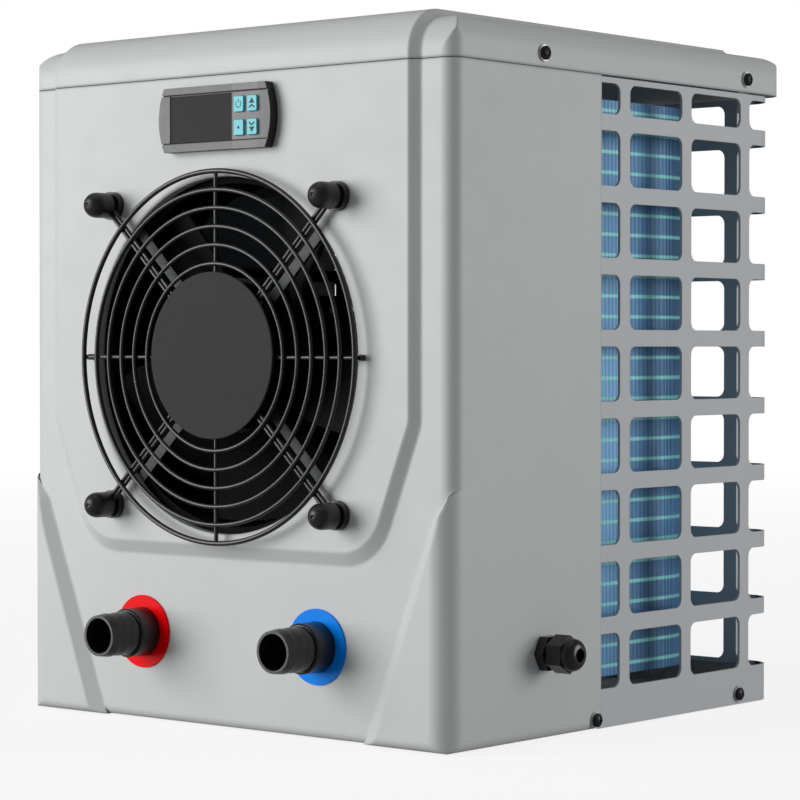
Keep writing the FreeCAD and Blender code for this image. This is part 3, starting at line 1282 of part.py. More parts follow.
# ------------------------------------------------------------------ build
def main():
    os.makedirs("parts", exist_ok=True)
    makers = [
        ("front_shell", front_shell), ("top_cover", top_cover), ("rear_grille", rear_grille),
        ("base_pan", base_pan), ("rubber_feet", rubber_feet), ("casing_screws", casing_screws),
        ("screw_washers", screw_washers),
        ("fan_guard", fan_guard), ("hub_disc", hub_disc), ("guard_studs", guard_studs),
        ("guard_washers", guard_washers), ("guard_nuts", guard_nuts), ("stud_caps", stud_caps),
        ("fan_shroud", fan_shroud), ("motor_bracket", motor_bracket), ("motor_stator", motor_stator),
        ("motor_bearings", motor_bearings), ("fan_shaft", fan_shaft), ("fan_impeller", fan_impeller),
        ("controller_bezel", controller_bezel), ("display_window", display_window),
        ("controller_body", controller_body), ("controller_board", controller_board),
        ("key_power", lambda: controller_key(KEY_X[0], KEY_Z[0])),
        ("key_up", lambda: controller_key(KEY_X[1], KEY_Z[0])),
        ("key_set", lambda: controller_key(KEY_X[0], KEY_Z[1])),
        ("key_down", lambda: controller_key(KEY_X[1], KEY_Z[1])),
        ("hose_tail_left", lambda: hose_tail(PORT_X[0])),
        ("hose_tail_right", lambda: hose_tail(PORT_X[1])),
        ("port_ring_red", lambda: port_ring(PORT_X[0])),
        ("port_ring_blue", lambda: port_ring(PORT_X[1])),
        ("tail_o_rings", tail_o_rings), ("exchanger_tank", exchanger_tank),
        ("exchanger_caps", exchanger_caps), ("titanium_tube", titanium_tube),
        ("exchanger_saddles", exchanger_saddles), ("flow_switch_body", flow_switch_body),
        ("flow_paddle", flow_paddle),
        ("gland_body", gland_body), ("gland_locknut", gland_locknut), ("gland_seal", gland_seal),
        ("gland_dome_nut", gland_dome_nut),
        ("evaporator_fins", evaporator_fins), ("evaporator_hairpins", evaporator_hairpins),
        ("evaporator_return_bends", evaporator_return_bends),
        ("evaporator_end_plates", evaporator_end_plates),
        ("compressor_shell", compressor_shell), ("compressor_grommets", compressor_grommets),
        ("compressor_stator", compressor_stator), ("compressor_crankshaft", compressor_crankshaft),
        ("terminal_cover", terminal_cover), ("accumulator", accumulator),
        ("discharge_pipe", discharge_pipe), ("suction_pipe", suction_pipe), ("liquid_pipe", liquid_pipe),
        ("filter_drier", filter_drier), ("capillary_tube", capillary_tube),
        ("electric_box", electric_box), ("power_board", power_board), ("run_capacitor", run_capacitor),
    ]
    for name, make in makers:
        save(name, make())


main()
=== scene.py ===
"""Look of the mini pool heat pump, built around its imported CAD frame. Metres, +Z up, front towards -Y."""

import json
import math

import bpy
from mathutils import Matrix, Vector


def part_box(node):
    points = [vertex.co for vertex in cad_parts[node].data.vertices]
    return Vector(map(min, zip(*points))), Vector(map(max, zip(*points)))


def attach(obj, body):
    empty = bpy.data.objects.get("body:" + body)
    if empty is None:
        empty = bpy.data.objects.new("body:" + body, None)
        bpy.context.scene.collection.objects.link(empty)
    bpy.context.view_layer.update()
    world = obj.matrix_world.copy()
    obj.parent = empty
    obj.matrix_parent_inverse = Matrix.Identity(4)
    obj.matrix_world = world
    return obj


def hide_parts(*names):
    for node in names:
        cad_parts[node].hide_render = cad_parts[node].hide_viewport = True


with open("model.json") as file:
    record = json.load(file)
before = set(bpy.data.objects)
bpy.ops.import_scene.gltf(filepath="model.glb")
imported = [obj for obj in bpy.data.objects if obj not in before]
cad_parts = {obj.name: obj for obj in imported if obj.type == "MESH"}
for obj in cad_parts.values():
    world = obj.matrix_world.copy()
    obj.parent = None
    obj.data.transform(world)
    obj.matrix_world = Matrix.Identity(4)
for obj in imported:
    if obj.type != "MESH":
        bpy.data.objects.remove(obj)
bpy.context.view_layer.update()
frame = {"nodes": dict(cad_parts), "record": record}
MM = 0.001

# ---- view ----
CAMERA_AZIMUTH = math.radians(39.933)
CAMERA_DROP = math.radians(1.093)
CAMERA_PLACE = Vector((1.0342, -1.2414, 0.2076))
CAMERA_LENS = 126.5
SENSOR = 36.0

# ---- studio ----
FLOOR_REACH = 3.0
FLOOR_COVER = 0.16        # how much of the white surroundings the floor hides near the object
BACKDROP = 1.0
AMBIENT = 0.17
MIDDLE = (0.0, 0.0, 0.2)
SOFT_BOXES = {            # place, target, side and watts
    "front_left_box": ((-1.7, -2.2, 0.75), MIDDLE, 2.0, 76.0),
    "right_rear_box": ((2.1, 1.4, 0.6), MIDDLE, 1.4, 27.0),
    "overhead_box": ((0.0, -0.2, 2.6), (0.0, 0.0, 0.0), 2.4, 8.0),
}

# ---- evaporator, from its CAD box ----
FIN_PITCH = 1.3 * MM
FIN_THICKNESS = 0.65 * MM
FIN_INSET = 0.2 * MM      # of the fins' edges inside the CAD pack
COIL_DEPTH = 25.0 * MM
COIL_BEND_R = 71.0 * MM
TUBE_PITCH = 11.344 * MM

# ---- key marks; the signs' own sizes are in mm from the key's middle ----
MARK_LIFT = 0.06 * MM     # how far a mark stands off its key
MARK_SINK = 0.05 * MM
POWER_R = 1.9
POWER_LINE = 0.4
POWER_ARC = (125.0, 415.0)                # degrees; the gap is at the top
POWER_BAR = ((0.0, 0.5), (0.0, 2.7))
ARROW_HALF = 2.0
ARROW_TIP = 2.9
CHEVRON_PEAK = -0.9
CHEVRON_END = -2.4
CHEVRON_LINE = 0.8
DOT_R = 0.8


# ------------------------------------------------------------------ node helpers
class Look:
    """A node material, with short calls for the nodes that most looks share."""

    def __init__(self, name):
        self.material = bpy.data.materials.new(name)
        self.material.use_nodes = True
        self.tree = self.material.node_tree
        self.shader = self.tree.nodes["Principled BSDF"]
        self.place = self.add("ShaderNodeTexCoord").outputs["Object"]

    def add(self, kind, **settings):
        node = self.tree.nodes.new(kind)
        for key, value in settings.items():
            setattr(node, key, value)
        return node

    def link(self, source, target):
        self.tree.links.new(source, target)

    def set(self, **values):
        for key, value in values.items():
            self.shader.inputs[key.replace("_", " ")].default_value = value

    def noise(self, scale, detail=3.0, stretch=None, distortion=0.0):
        node = self.add("ShaderNodeTexNoise")
        node.inputs["Scale"].default_value = scale
        node.inputs["Detail"].default_value = detail
        node.inputs["Distortion"].default_value = distortion
        self.link(self.stretched(stretch) if stretch else self.place, node.inputs["Vector"])
        return node.outputs["Fac"]

    def stretched(self, stretch):
        node = self.add("ShaderNodeMapping")
        node.inputs["Scale"].default_value = stretch
        self.link(self.place, node.inputs["Vector"])
        return node.outputs["Vector"]

    def cells(self, scale, feature="F1"):
        node = self.add("ShaderNodeTexVoronoi", feature=feature)
        node.inputs["Scale"].default_value = scale
        self.link(self.place, node.inputs["Vector"])
        return node.outputs

    def ramp(self, value, stops):
        node = self.add("ShaderNodeValToRGB")
        band = node.color_ramp
        while len(band.elements) < len(stops):
            band.elements.new(0.5)
        for element, (position, colour) in zip(band.elements, stops):
            element.position = position
            element.color = (*colour, 1.0)
        self.link(value, node.inputs["Fac"])
        return node.outputs["Color"]

    def span(self, value, low, high, from_low=0.0, from_high=1.0):
        node = self.add("ShaderNodeMapRange")
        node.inputs["From Min"].default_value = from_low
        node.inputs["From Max"].default_value = from_high
        node.inputs["To Min"].default_value = low
        node.inputs["To Max"].default_value = high
        self.link(value, node.inputs["Value"])
        return node.outputs["Result"]

    def math(self, operation, first, second=None):
        node = self.add("ShaderNodeMath", operation=operation)
        for socket, value in zip(node.inputs, (first, second)):
            if value is None:
                continue
            if isinstance(value, (int, float)):
                socket.default_value = value
            else:
                self.link(value, socket)
        return node.outputs[0]

    def mix(self, factor, first, second):
        node = self.add("ShaderNodeMix", data_type="RGBA")
        self.feed(node.inputs["Factor"], factor)
        self.feed(node.inputs[6], first)
        self.feed(node.inputs[7], second)
        return node.outputs[2]

    def feed(self, socket, value):
        if isinstance(value, (int, float)):
            socket.default_value = value
        elif isinstance(value, tuple):
            socket.default_value = (*value, 1.0) if len(value) == 3 else value
        else:
            self.link(value, socket)

    def colour(self, value):
        self.link(value, self.shader.inputs["Base Color"])

    def rough(self, value):
        self.link(value, self.shader.inputs["Roughness"])

    def bump(self, height, distance, strength=1.0, edge=None):
        """Surface relief; edge also rounds sharp edges by that radius."""
        node = self.add("ShaderNodeBump")
        node.inputs["Distance"].default_value = distance
        node.inputs["Strength"].default_value = strength
        self.link(height, node.inputs["Height"])
        if edge:
            bevel = self.add("ShaderNodeBevel", samples=4)
            bevel.inputs["Radius"].default_value = edge
            self.link(bevel.outputs["Normal"], node.inputs["Normal"])
        self.link(node.outputs["Normal"], self.shader.inputs["Normal"])

    def axis(self, name, source=None):
        """One coordinate of the object's place, or of another vector."""
        node = self.add("ShaderNodeSeparateXYZ")
        self.link(source or self.place, node.inputs["Vector"])
        return node.outputs[name]

    def above(self, value, limit, soft):
        """0 below the limit and 1 above it, with a soft step."""
        return self.span(value, 0.0, 1.0, limit - soft, limit + soft)

    def normal(self):
        return self.add("ShaderNodeNewGeometry").outputs["Normal"]


def shade(colour, factor):
    return tuple(min(1.0, c * factor) for c in colour)


# ------------------------------------------------------------------ materials
def powder_coat(name, colour, rough, grain=0.000012, edge=0.0026, specular=0.35):
    """Baked powder paint: fine orange peel, faint clouding, slightly uneven gloss."""
    look = Look(name)
    cloud = look.noise(9.0, 4.0)
    look.colour(look.ramp(cloud, [(0.3, shade(colour, 0.98)), (0.7, shade(colour, 1.015))]))
    look.rough(look.span(look.noise(60.0, 3.0), rough - 0.03, rough + 0.04, 0.3, 0.7))
    peel = look.math("ADD", look.noise(1500.0, 2.0), look.noise(450.0, 2.0))
    look.bump(peel, grain, 0.4, edge)
    look.set(Specular_IOR_Level=specular)
    return look.material


def grille_paint(name, colour, rough):
    """Powder paint outside; the inner faces are painted dark blue-teal as painted shade, tinted by painted
    blue light from the coil.
    """
    look = Look(name)
    low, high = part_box("rear_grille")
    skin = 0.9 * MM
    step = 0.1 * MM
    right = look.above(look.axis("X"), high[0] - skin, step)
    left = look.math("SUBTRACT", 1.0, look.above(look.axis("X"), low[0] + skin, step))
    rear = look.above(look.axis("Y"), high[1] - skin, step)
    facing_out = look.above(look.axis("X", look.normal()), -0.2, 0.1)
    outside = look.math("MAXIMUM", look.math("MAXIMUM", right, left),
                        look.math("MAXIMUM", rear, facing_out))
    cloud = look.ramp(look.noise(9.0, 4.0), [(0.3, shade(colour, 0.98)), (0.7, shade(colour, 1.015))])
    # painted shade: the inner faces take the dark blue-teal colour in place of the paint
    look.colour(look.mix(outside, (0.022, 0.052, 0.072), cloud))
    look.rough(look.span(look.noise(60.0, 3.0), rough - 0.03, rough + 0.04, 0.3, 0.7))
    look.bump(look.noise(1500.0, 2.0), 0.000012, 0.4, 0.0005)
    look.set(Specular_IOR_Level=0.35)
    return look.material


def moulded_plastic(name, colour, rough, grain=0.000006, edge=0.0004, cloud=0.04, specular=0.5):
    """Injection-moulded plastic with a fine spark-eroded grain."""
    look = Look(name)
    look.colour(look.ramp(look.noise(40.0, 3.0), [
        (0.3, shade(colour, 1.0 - cloud)), (0.7, shade(colour, 1.0 + cloud))]))
    look.rough(look.span(look.noise(300.0, 3.0), rough - 0.02, rough + 0.03, 0.3, 0.7))
    look.bump(look.noise(2200.0, 2.0), grain, 0.4, edge)
    look.set(Specular_IOR_Level=specular)
    return look.material


def bezel_plastic(name, label, cheek, side):
    """Black moulding with dark grey front cheeks, a warmer patch round the keys and black grooves."""
    look = Look(name)
    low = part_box("controller_bezel")[0]
    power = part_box("key_power")
    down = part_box("key_down")
    shift = 0.5 * MM
    label_depth = 0.95 * MM
    left = min(power[0][0], down[0][0]) - shift
    right = max(power[1][0], down[1][0]) - shift
    across = look.axis("X")
    patch = look.math("MULTIPLY", look.above(across, left, 0.2 * MM),
                      look.math("SUBTRACT", 1.0, look.above(across, right, 0.2 * MM)))
    front = look.mix(patch, label, cheek)
    facing = look.axis("Y", look.normal())
    deep = look.above(look.axis("Y"), low[1] + label_depth, 0.05 * MM)
    shown = look.math("SUBTRACT", 1.0, look.above(facing, -0.85, 0.05))
    shown = look.math("MULTIPLY", shown, look.math("SUBTRACT", 1.0, deep))
    grain = look.ramp(look.noise(60.0, 3.0), [(0.3, (0.96, 0.96, 0.96)), (0.7, (1.0, 1.0, 1.0))])
    tint = look.add("ShaderNodeMix", data_type="RGBA", blend_type="MULTIPLY")
    look.feed(tint.inputs["Factor"], 1.0)
    look.feed(tint.inputs[6], look.mix(shown, side, front))
    look.feed(tint.inputs[7], grain)
    look.colour(tint.outputs[2])
    look.rough(look.span(look.noise(300.0, 3.0), 0.42, 0.5, 0.3, 0.7))
    look.bump(look.noise(2200.0, 2.0), 0.000006, 0.4, 0.0004)
    look.set(Specular_IOR_Level=0.3)
    return look.material


def soft_rubber(name, colour):
    """Dull rubber with fine pitting and a little bloom."""
    look = Look(name)
    bloom = look.noise(90.0, 4.0)
    look.colour(look.ramp(bloom, [(0.35, colour), (0.75, shade(colour, 1.3))]))
    look.rough(look.span(bloom, 0.34, 0.44, 0.3, 0.7))
    look.bump(look.noise(1400.0, 3.0), 0.000008, 0.4, 0.0004)
    return look.material


def worked_metal(name, colour, rough, stretch=(1.0, 1.0, 30.0), scale=60.0):
    """Drawn or brushed metal with streaks along one direction."""
    look = Look(name)
    streaks = look.noise(scale, 4.0, stretch)
    look.colour(look.ramp(streaks, [(0.3, shade(colour, 0.85)), (0.7, shade(colour, 1.1))]))
    look.rough(look.span(streaks, rough - 0.06, rough + 0.1, 0.3, 0.7))
    look.bump(streaks, 0.00002, 0.4, 0.0002)
    look.set(Metallic=1.0)
    return look.material


def zinc_sheet(name, colour):
    """Hot-dip galvanised sheet: crystal spangle with uneven gloss."""
    look = Look(name)
    spangle = look.cells(90.0)["Color"]
    grey = look.add("ShaderNodeRGBToBW")
    look.link(spangle, grey.inputs["Color"])
    look.colour(look.ramp(grey.outputs["Val"], [(0.2, shade(colour, 0.8)), (0.8, shade(colour, 1.12))]))
    look.rough(look.span(grey.outputs["Val"], 0.34, 0.55))
    look.bump(look.noise(500.0, 3.0), 0.00002, 0.5, 0.0003)
    look.set(Metallic=1.0)
    return look.material


def copper_tube(name, colour):
    """Drawn copper, a little tarnished in patches."""
    look = Look(name)
    tarnish = look.noise(55.0, 6.0, distortion=0.6)
    look.colour(look.ramp(tarnish, [(0.35, colour), (0.62, shade(colour, 0.72)), (0.8, (0.16, 0.07, 0.05))]))
    look.rough(look.span(tarnish, 0.22, 0.5, 0.3, 0.75))
    look.bump(look.noise(900.0, 2.0), 0.00001, 0.4)
    look.set(Metallic=1.0)
    return look.material


def winding(name, colour):
    """Lacquered windings and steel laminations, as fine rings across the axis."""
    look = Look(name)
    wave = look.add("ShaderNodeTexWave", wave_type="BANDS", bands_direction="Y")
    wave.inputs["Scale"].default_value = 320.0
    wave.inputs["Distortion"].default_value = 0.4
    look.link(look.place, wave.inputs["Vector"])
    look.colour(look.ramp(wave.outputs["Fac"], [(0.2, shade(colour, 0.5)), (0.8, colour)]))
    look.rough(look.span(look.noise(200.0), 0.3, 0.55))
    look.bump(wave.outputs["Fac"], 0.0001, 0.6)
    look.set(Metallic=0.7)
    return look.material


def circuit_board(name, colour):
    """Solder-resist green with copper tracks and pads below the lacquer."""
    look = Look(name)
    cells = look.cells(260.0, "DISTANCE_TO_EDGE")["Distance"]
    track = look.ramp(cells, [(0.04, shade(colour, 2.4)), (0.07, colour)])
    look.colour(look.mix(look.span(look.noise(70.0), 0.0, 1.0, 0.45, 0.6), colour, track))
    look.rough(look.span(look.noise(300.0), 0.25, 0.45))
    look.bump(cells, 0.00005, 0.3)
    return look.material


def clear_gloss(name, colour, rough, specular=0.5):
    """Smooth tinted plastic with faint moulding flow and fine scuffs."""
    look = Look(name)
    look.colour(look.ramp(look.noise(30.0, 3.0), [(0.3, shade(colour, 0.97)), (0.7, shade(colour, 1.03))]))
    look.rough(look.span(look.noise(420.0, 5.0), rough, rough + 0.05, 0.4, 0.75))
    look.bump(look.noise(700.0, 2.0), 0.000003, 0.4, 0.0003)
    look.set(Specular_IOR_Level=specular)
    return look.material


def turned_ring(name, colour, node):
    """Bright plastic ring with fine circular machining that spreads its highlight."""
    look = Look(name)
    waves = 9000.0    # radians per metre of radius
    low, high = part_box(node)
    across = look.math("SUBTRACT", look.axis("X"), 0.5 * (low[0] + high[0]))
    up = look.math("SUBTRACT", look.axis("Z"), 0.5 * (low[2] + high[2]))
    radius = look.math("SQRT", look.math("ADD", look.math("MULTIPLY", across, across),
                                         look.math("MULTIPLY", up, up)))
    groove = look.math("SINE", look.math("MULTIPLY", radius, waves))
    look.colour(look.ramp(look.noise(60.0, 3.0), [(0.3, shade(colour, 0.97)), (0.7, colour)]))
    look.rough(look.span(look.noise(200.0), 0.28, 0.36, 0.3, 0.7))
    look.bump(groove, 0.00002, 0.35, 0.0003)
    look.set(Specular_IOR_Level=0.06)
    return look.material


MATERIALS = {
    "painted_steel": powder_coat("painted_steel", (0.60, 0.612, 0.61), 0.42),
    "grille_paint": grille_paint("grille_paint", (0.56, 0.575, 0.59), 0.42),
    "zinc_sheet": zinc_sheet("zinc_sheet", (0.60, 0.61, 0.62)),
    "black_wire": powder_coat("black_wire", (0.016, 0.016, 0.017), 0.30, edge=0.0, specular=0.5),
    "zinc_fastener": worked_metal("zinc_fastener", (0.46, 0.46, 0.47), 0.38),
    "black_fastener": powder_coat("black_fastener", (0.012, 0.012, 0.012), 0.34, edge=0.0003),
    "black_rubber": soft_rubber("black_rubber", (0.010, 0.010, 0.011)),
    "hub_plastic": moulded_plastic("hub_plastic", (0.044, 0.044, 0.045), 0.60, cloud=0.01, specular=0.08),
    "black_plastic": moulded_plastic("black_plastic", (0.014, 0.014, 0.015), 0.30),
    "bezel_plastic": bezel_plastic("bezel_plastic", (0.180, 0.183, 0.185), (0.235, 0.222, 0.222),
                                   (0.020, 0.020, 0.021)),
    "display_lens": clear_gloss("display_lens", (0.046, 0.046, 0.047), 0.50, specular=0.04),
    "key_turquoise": moulded_plastic("key_turquoise", (0.165, 0.665, 0.745), 0.38, specular=0.3),
    "board_green": circuit_board("board_green", (0.02, 0.15, 0.06)),
    "motor_steel": worked_metal("motor_steel", (0.075, 0.078, 0.08), 0.55),
    "motor_varnish": moulded_plastic("motor_varnish", (0.020, 0.015, 0.012), 0.5),
    "bright_steel": worked_metal("bright_steel", (0.62, 0.62, 0.62), 0.22, (1.0, 30.0, 1.0)),
    "copper_winding": winding("copper_winding", (0.50, 0.17, 0.06)),
    "ring_red": turned_ring("ring_red", (1.0, 0.001, 0.004), "port_ring_red"),
    "ring_blue": turned_ring("ring_blue", (0.003, 0.27, 1.0), "port_ring_blue"),
    "tank_plastic": moulded_plastic("tank_plastic", (0.030, 0.030, 0.032), 0.42),
    "titanium": worked_metal("titanium", (0.36, 0.345, 0.33), 0.36),
    "switch_plastic": moulded_plastic("switch_plastic", (0.02, 0.10, 0.36), 0.42),
    "white_plastic": moulded_plastic("white_plastic", (0.72, 0.72, 0.69), 0.45),
    "copper": copper_tube("copper", (0.42, 0.17, 0.10)),
    "compressor_black": powder_coat("compressor_black", (0.010, 0.010, 0.011), 0.5),
    "capacitor_case": worked_metal("capacitor_case", (0.66, 0.66, 0.67), 0.34),
}
NODE_LOOKS = {
    # painted shade: the fan shroud and impeller are darker than plain black plastic, for the dark inside of
    # the casing
    "fan_shroud": moulded_plastic("shroud_black_painted_shade", (0.004, 0.004, 0.005), 0.7, specular=0.1),
    "fan_impeller": moulded_plastic("blade_black_painted_shade", (0.006, 0.006, 0.007), 0.6, specular=0.15),
    "gland_dome_nut": moulded_plastic("gland_black", (0.012, 0.012, 0.013), 0.24),
    "gland_body": moulded_plastic("gland_body_black", (0.012, 0.012, 0.013), 0.26),
    "motor_bearings": worked_metal("bearing_dark", (0.12, 0.12, 0.12), 0.5),
    # painted shade: the suction pipe is coloured black and the discharge copper darkened, for the dark
    # inside of the casing
    "suction_pipe": moulded_plastic("pipe_painted_shade", (0.010, 0.010, 0.010), 0.8, specular=0.1),
    "discharge_pipe": copper_tube("copper_painted_shade", (0.10, 0.045, 0.03)),
}


# ------------------------------------------------------------------ mesh helpers
def mesh_piece(name, points, faces, material, body, smooth=False):
    mesh = bpy.data.meshes.new(name)
    mesh.from_pydata([tuple(p) for p in points], [], faces)
    mesh.update()
    mesh.materials.append(material)
    if smooth:
        mesh.shade_smooth()
    piece = bpy.data.objects.new(name, mesh)
    bpy.context.collection.objects.link(piece)
    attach(piece, body)
    return piece


# ------------------------------------------------------------------ evaporator fins
def fin_material():
    """Blue water-shedding coat in vertical streaks, partly real tone and partly painted reflection, with a
    painted highlight line at each tube row.
    """
    look = Look("fin_blue")
    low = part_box("evaporator_fins")[0][2]
    # painted highlight: a bright cyan line at the height of each tube row
    level = look.math("DIVIDE", look.math("SUBTRACT", look.axis("Z"), low), TUBE_PITCH)
    centred = look.math("SUBTRACT", look.math("FRACT", level), 0.5)
    distance = look.math("ABSOLUTE", centred)
    uneven = look.math("MULTIPLY", look.noise(35.0, 3.0), 0.05)
    line = look.math("SUBTRACT", look.math("ADD", distance, uneven), 0.025)
    # streaks along the height: partly real tone variation, partly painted reflection of the glossy fins
    base = look.ramp(look.noise(14.0, 5.0, (1.0, 1.0, 0.25)), [
        (0.30, (0.070, 0.150, 0.270)), (0.50, (0.170, 0.400, 0.680)), (0.70, (0.340, 0.680, 1.000))])
    look.colour(look.mix(look.ramp(line, [(0.050, (1.0, 1.0, 1.0)), (0.12, (0.0, 0.0, 0.0))]),
                         base, (0.45, 1.0, 1.0)))
    look.rough(look.span(look.noise(90.0), 0.28, 0.46))
    look.bump(look.noise(700.0, 2.0), 0.00002, 0.5)
    look.set(Metallic=0.2)
    return look.material


def coil_stations(outer_x, outer_y, front, left):
    """Fin positions along the coil's outer face: point and outward direction."""
    bend_x = outer_x - COIL_BEND_R
    bend_y = outer_y - COIL_BEND_R
    stations = []
    count = int((bend_y - front) / FIN_PITCH)
    for i in range(count):
        stations.append((Vector((outer_x, front + FIN_PITCH * (i + 0.5), 0)), Vector((1, 0, 0))))
    middle_arc = (COIL_BEND_R - COIL_DEPTH / 2) * math.pi / 2    # fins are spaced on the middle line
    count = int(middle_arc / FIN_PITCH)
    for i in range(count):
        turn = math.pi / 2 * (i + 0.5) / count
        out = Vector((math.cos(turn), math.sin(turn), 0))
        stations.append((Vector((bend_x, bend_y, 0)) + out * COIL_BEND_R, out))
    count = int((bend_x - left) / FIN_PITCH)
    for i in range(count):
        stations.append((Vector((bend_x - FIN_PITCH * (i + 0.5), outer_y, 0)), Vector((0, 1, 0))))
    return stations


def coil_fins():
    """Separate thin fins, edge on to the air, fanned round the corner of the coil."""
    low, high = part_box("evaporator_fins")
    points = []
    faces = []
    for outer, out in coil_stations(high[0], high[1], low[1], low[0]):
        side = Vector((-out.y, out.x, 0)) * (FIN_THICKNESS / 2)
        inner = outer - out * (COIL_DEPTH - FIN_INSET)
        rim = outer - out * FIN_INSET
        base = len(points)
        for z in (low[2], high[2]):
            for corner in (rim + side, rim - side, inner - side, inner + side):
                points.append((corner.x, corner.y, z))
        faces += [(base, base + 3, base + 2, base + 1), (base + 4, base + 5, base + 6, base + 7)]
        for k in range(4):
            following = (k + 1) % 4
            faces.append((base + k, base + following, base + 4 + following, base + 4 + k))
    fins = mesh_piece("coil_fins", points, faces, fin_material(), "casing")
    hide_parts("evaporator_fins")


# ------------------------------------------------------------------ key marks
def mark_material():
    """Dark printed ink, slightly worn."""
    look = Look("mark_ink")
    look.colour(look.ramp(look.noise(500.0, 3.0), [
        (0.3, (0.004, 0.012, 0.014)), (0.7, (0.008, 0.018, 0.020))]))
    look.rough(look.span(look.noise(900.0), 0.5, 0.65))
    return look.material


def raised_mark(name, shapes, key, material):
    """Flat shapes, each a list of (x, z) corners in mm from the key's middle, a little proud of its face."""
    low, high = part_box(key)
    middle_x = 0.5 * (low[0] + high[0])
    middle_z = 0.5 * (low[2] + high[2])
    points = []
    faces = []
    for shape in shapes:
        base = len(points)
        count = len(shape)
        for y in (low[1] - MARK_LIFT, low[1] + MARK_SINK):
            points += [(middle_x + x * MM, y, middle_z + z * MM) for x, z in shape]
        faces.append(tuple(base + i for i in range(count)))
        faces.append(tuple(base + count + i for i in reversed(range(count))))
        for i in range(count):
            following = (i + 1) % count
            faces.append((base + i, base + count + i, base + count + following, base + following))
    mesh_piece(name, points, faces, material, key[4:] + "_key")


def stroke(start, end, width):
    """Rectangle along a line."""
    run = Vector(end) - Vector(start)
    across = Vector((-run.y, run.x)).normalized() * (width / 2)
    return [tuple(Vector(start) - across), tuple(Vector(end) - across),
            tuple(Vector(end) + across), tuple(Vector(start) + across)]


def arc_strokes(radius, width, from_deg, to_deg, pieces=14):
    shapes = []
    for i in range(pieces):
        first = math.radians(from_deg + (to_deg - from_deg) * i / pieces)
        last = math.radians(from_deg + (to_deg - from_deg) * (i + 1) / pieces)
        shapes.append([
            ((radius - width / 2) * math.cos(first), (radius - width / 2) * math.sin(first)),
            ((radius + width / 2) * math.cos(first), (radius + width / 2) * math.sin(first)),
            ((radius + width / 2) * math.cos(last), (radius + width / 2) * math.sin(last)),
            ((radius - width / 2) * math.cos(last), (radius - width / 2) * math.sin(last))])
    return shapes


def disc(radius, corners=12):
    turns = [2 * math.pi * i / corners for i in range(corners)]
    return [(radius * math.cos(turn), radius * math.sin(turn)) for turn in turns]


def arrow(turn):
    """Triangle over a chevron, pointing up for 1 and down for -1."""
    peak = (0.0, CHEVRON_PEAK * turn)
    return [[(-ARROW_HALF, 0.0), (ARROW_HALF, 0.0), (0.0, ARROW_TIP * turn)],
            stroke((-ARROW_HALF, CHEVRON_END * turn), peak, CHEVRON_LINE),
            stroke(peak, (ARROW_HALF, CHEVRON_END * turn), CHEVRON_LINE)]


def key_marks():
    """Plain signs: on and off, up, down, and a dot for set."""
    ink = mark_material()
    power = arc_strokes(POWER_R, POWER_LINE, *POWER_ARC) + [stroke(*POWER_BAR, POWER_LINE)]
    raised_mark("mark_power", power, "key_power", ink)
    raised_mark("mark_up", arrow(1.0), "key_up", ink)
    raised_mark("mark_down", arrow(-1.0), "key_down", ink)
    raised_mark("mark_set", [disc(DOT_R)], "key_set", ink)


# ------------------------------------------------------------------ surroundings
def area_light(name, place, target, size, power):
    light = bpy.data.lights.new(name, "AREA")
    light.energy = power
    light.size = size
    lamp = bpy.data.objects.new(name, light)
    bpy.context.collection.objects.link(lamp)
    lamp.location = place
    lamp.rotation_euler = (Vector(target) - Vector(place)).to_track_quat("-Z", "Y").to_euler()


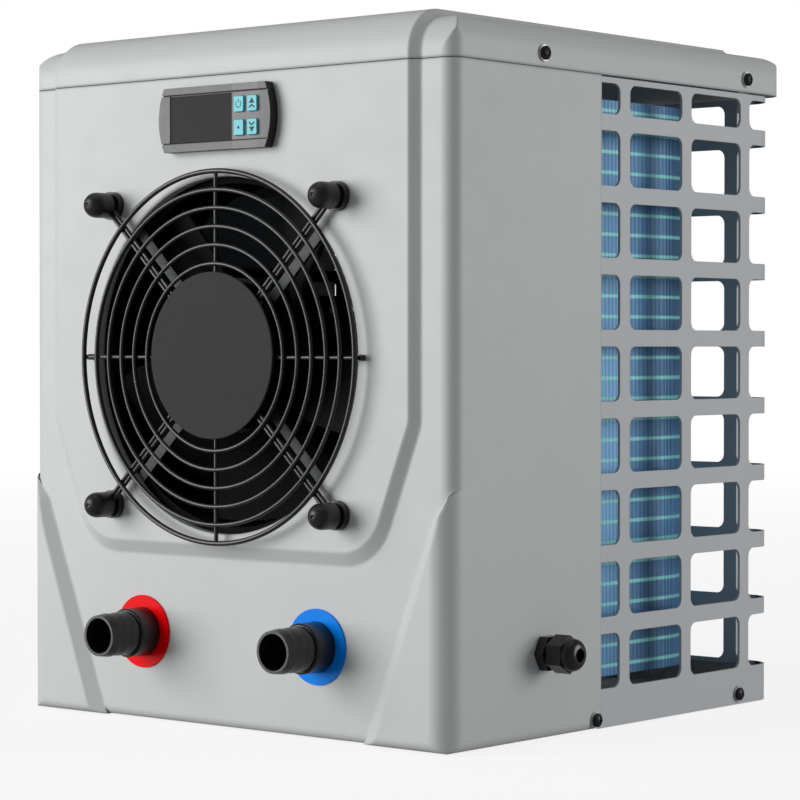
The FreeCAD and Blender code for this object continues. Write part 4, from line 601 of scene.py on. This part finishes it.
def studio():
    """Pale floor that fades into white surroundings, and soft boxes front left, right rear and overhead."""
    floor_mesh = bpy.data.meshes.new("studio_floor")
    reach = FLOOR_REACH
    floor_mesh.from_pydata([(-reach, -reach, 0), (reach, -reach, 0), (reach, reach, 0), (-reach, reach, 0)],
                           [], [(0, 1, 2, 3)])
    floor_mesh.materials.append(floor_material())
    floor = bpy.data.objects.new("studio_floor", floor_mesh)
    bpy.context.collection.objects.link(floor)
    world = bpy.data.worlds.new("studio_world")
    bpy.context.scene.world = world
    world.use_nodes = True
    nodes = world.node_tree.nodes
    links = world.node_tree.links
    backdrop = nodes["Background"]
    backdrop.inputs["Color"].default_value = (1.0, 1.0, 1.0, 1.0)
    backdrop.inputs["Strength"].default_value = BACKDROP
    ambient = nodes.new("ShaderNodeBackground")
    ambient.inputs["Color"].default_value = (0.95, 0.97, 1.0, 1.0)
    ambient.inputs["Strength"].default_value = AMBIENT
    path = nodes.new("ShaderNodeLightPath")
    blend = nodes.new("ShaderNodeMixShader")
    links.new(path.outputs["Is Camera Ray"], blend.inputs["Fac"])
    links.new(ambient.outputs[0], blend.inputs[1])
    links.new(backdrop.outputs[0], blend.inputs[2])
    links.new(blend.outputs[0], nodes["World Output"].inputs["Surface"])
    for name, settings in SOFT_BOXES.items():
        area_light(name, *settings)


def floor_material():
    """Pale matt floor, thinning out to nothing away from the object."""
    look = Look("studio_floor")
    look.colour(look.ramp(look.noise(0.6, 2.0), [(0.0, (0.90, 0.90, 0.90)), (1.0, (0.94, 0.94, 0.94))]))
    look.set(Roughness=0.8)
    spread = look.add("ShaderNodeVectorMath", operation="LENGTH")
    look.link(look.place, spread.inputs[0])
    cover = look.span(spread.outputs["Value"], FLOOR_COVER, 0.0, 0.5, FLOOR_REACH)
    look.link(cover, look.shader.inputs["Alpha"])
    return look.material


def camera():
    lens = bpy.data.cameras.new("photo_camera")
    lens.lens = CAMERA_LENS
    lens.sensor_width = SENSOR
    lens.clip_start = 0.05
    lens.clip_end = 60.0
    view = bpy.data.objects.new("photo_camera", lens)
    bpy.context.collection.objects.link(view)
    forward = Vector((
        -math.sin(CAMERA_AZIMUTH) * math.cos(CAMERA_DROP),
        math.cos(CAMERA_AZIMUTH) * math.cos(CAMERA_DROP),
        -math.sin(CAMERA_DROP)))
    view.location = CAMERA_PLACE
    view.rotation_euler = forward.to_track_quat("-Z", "Y").to_euler()
    bpy.context.scene.camera = view


# ------------------------------------------------------------------ build
def dress_cad_nodes():
    """Give every CAD node the material of its slot in the record."""
    slots = {row["node"]: row["material_slot"] for row in frame["record"]["subparts"]}
    for name, node in frame["nodes"].items():
        material = NODE_LOOKS.get(name) or MATERIALS.get(slots[name])
        if material is None:
            continue
        if not node.material_slots:
            node.data.materials.append(material)
        for place in node.material_slots:
            place.material = material


bpy.context.scene.view_settings.view_transform = "Standard"
studio()
camera()
dress_cad_nodes()
coil_fins()
key_marks()
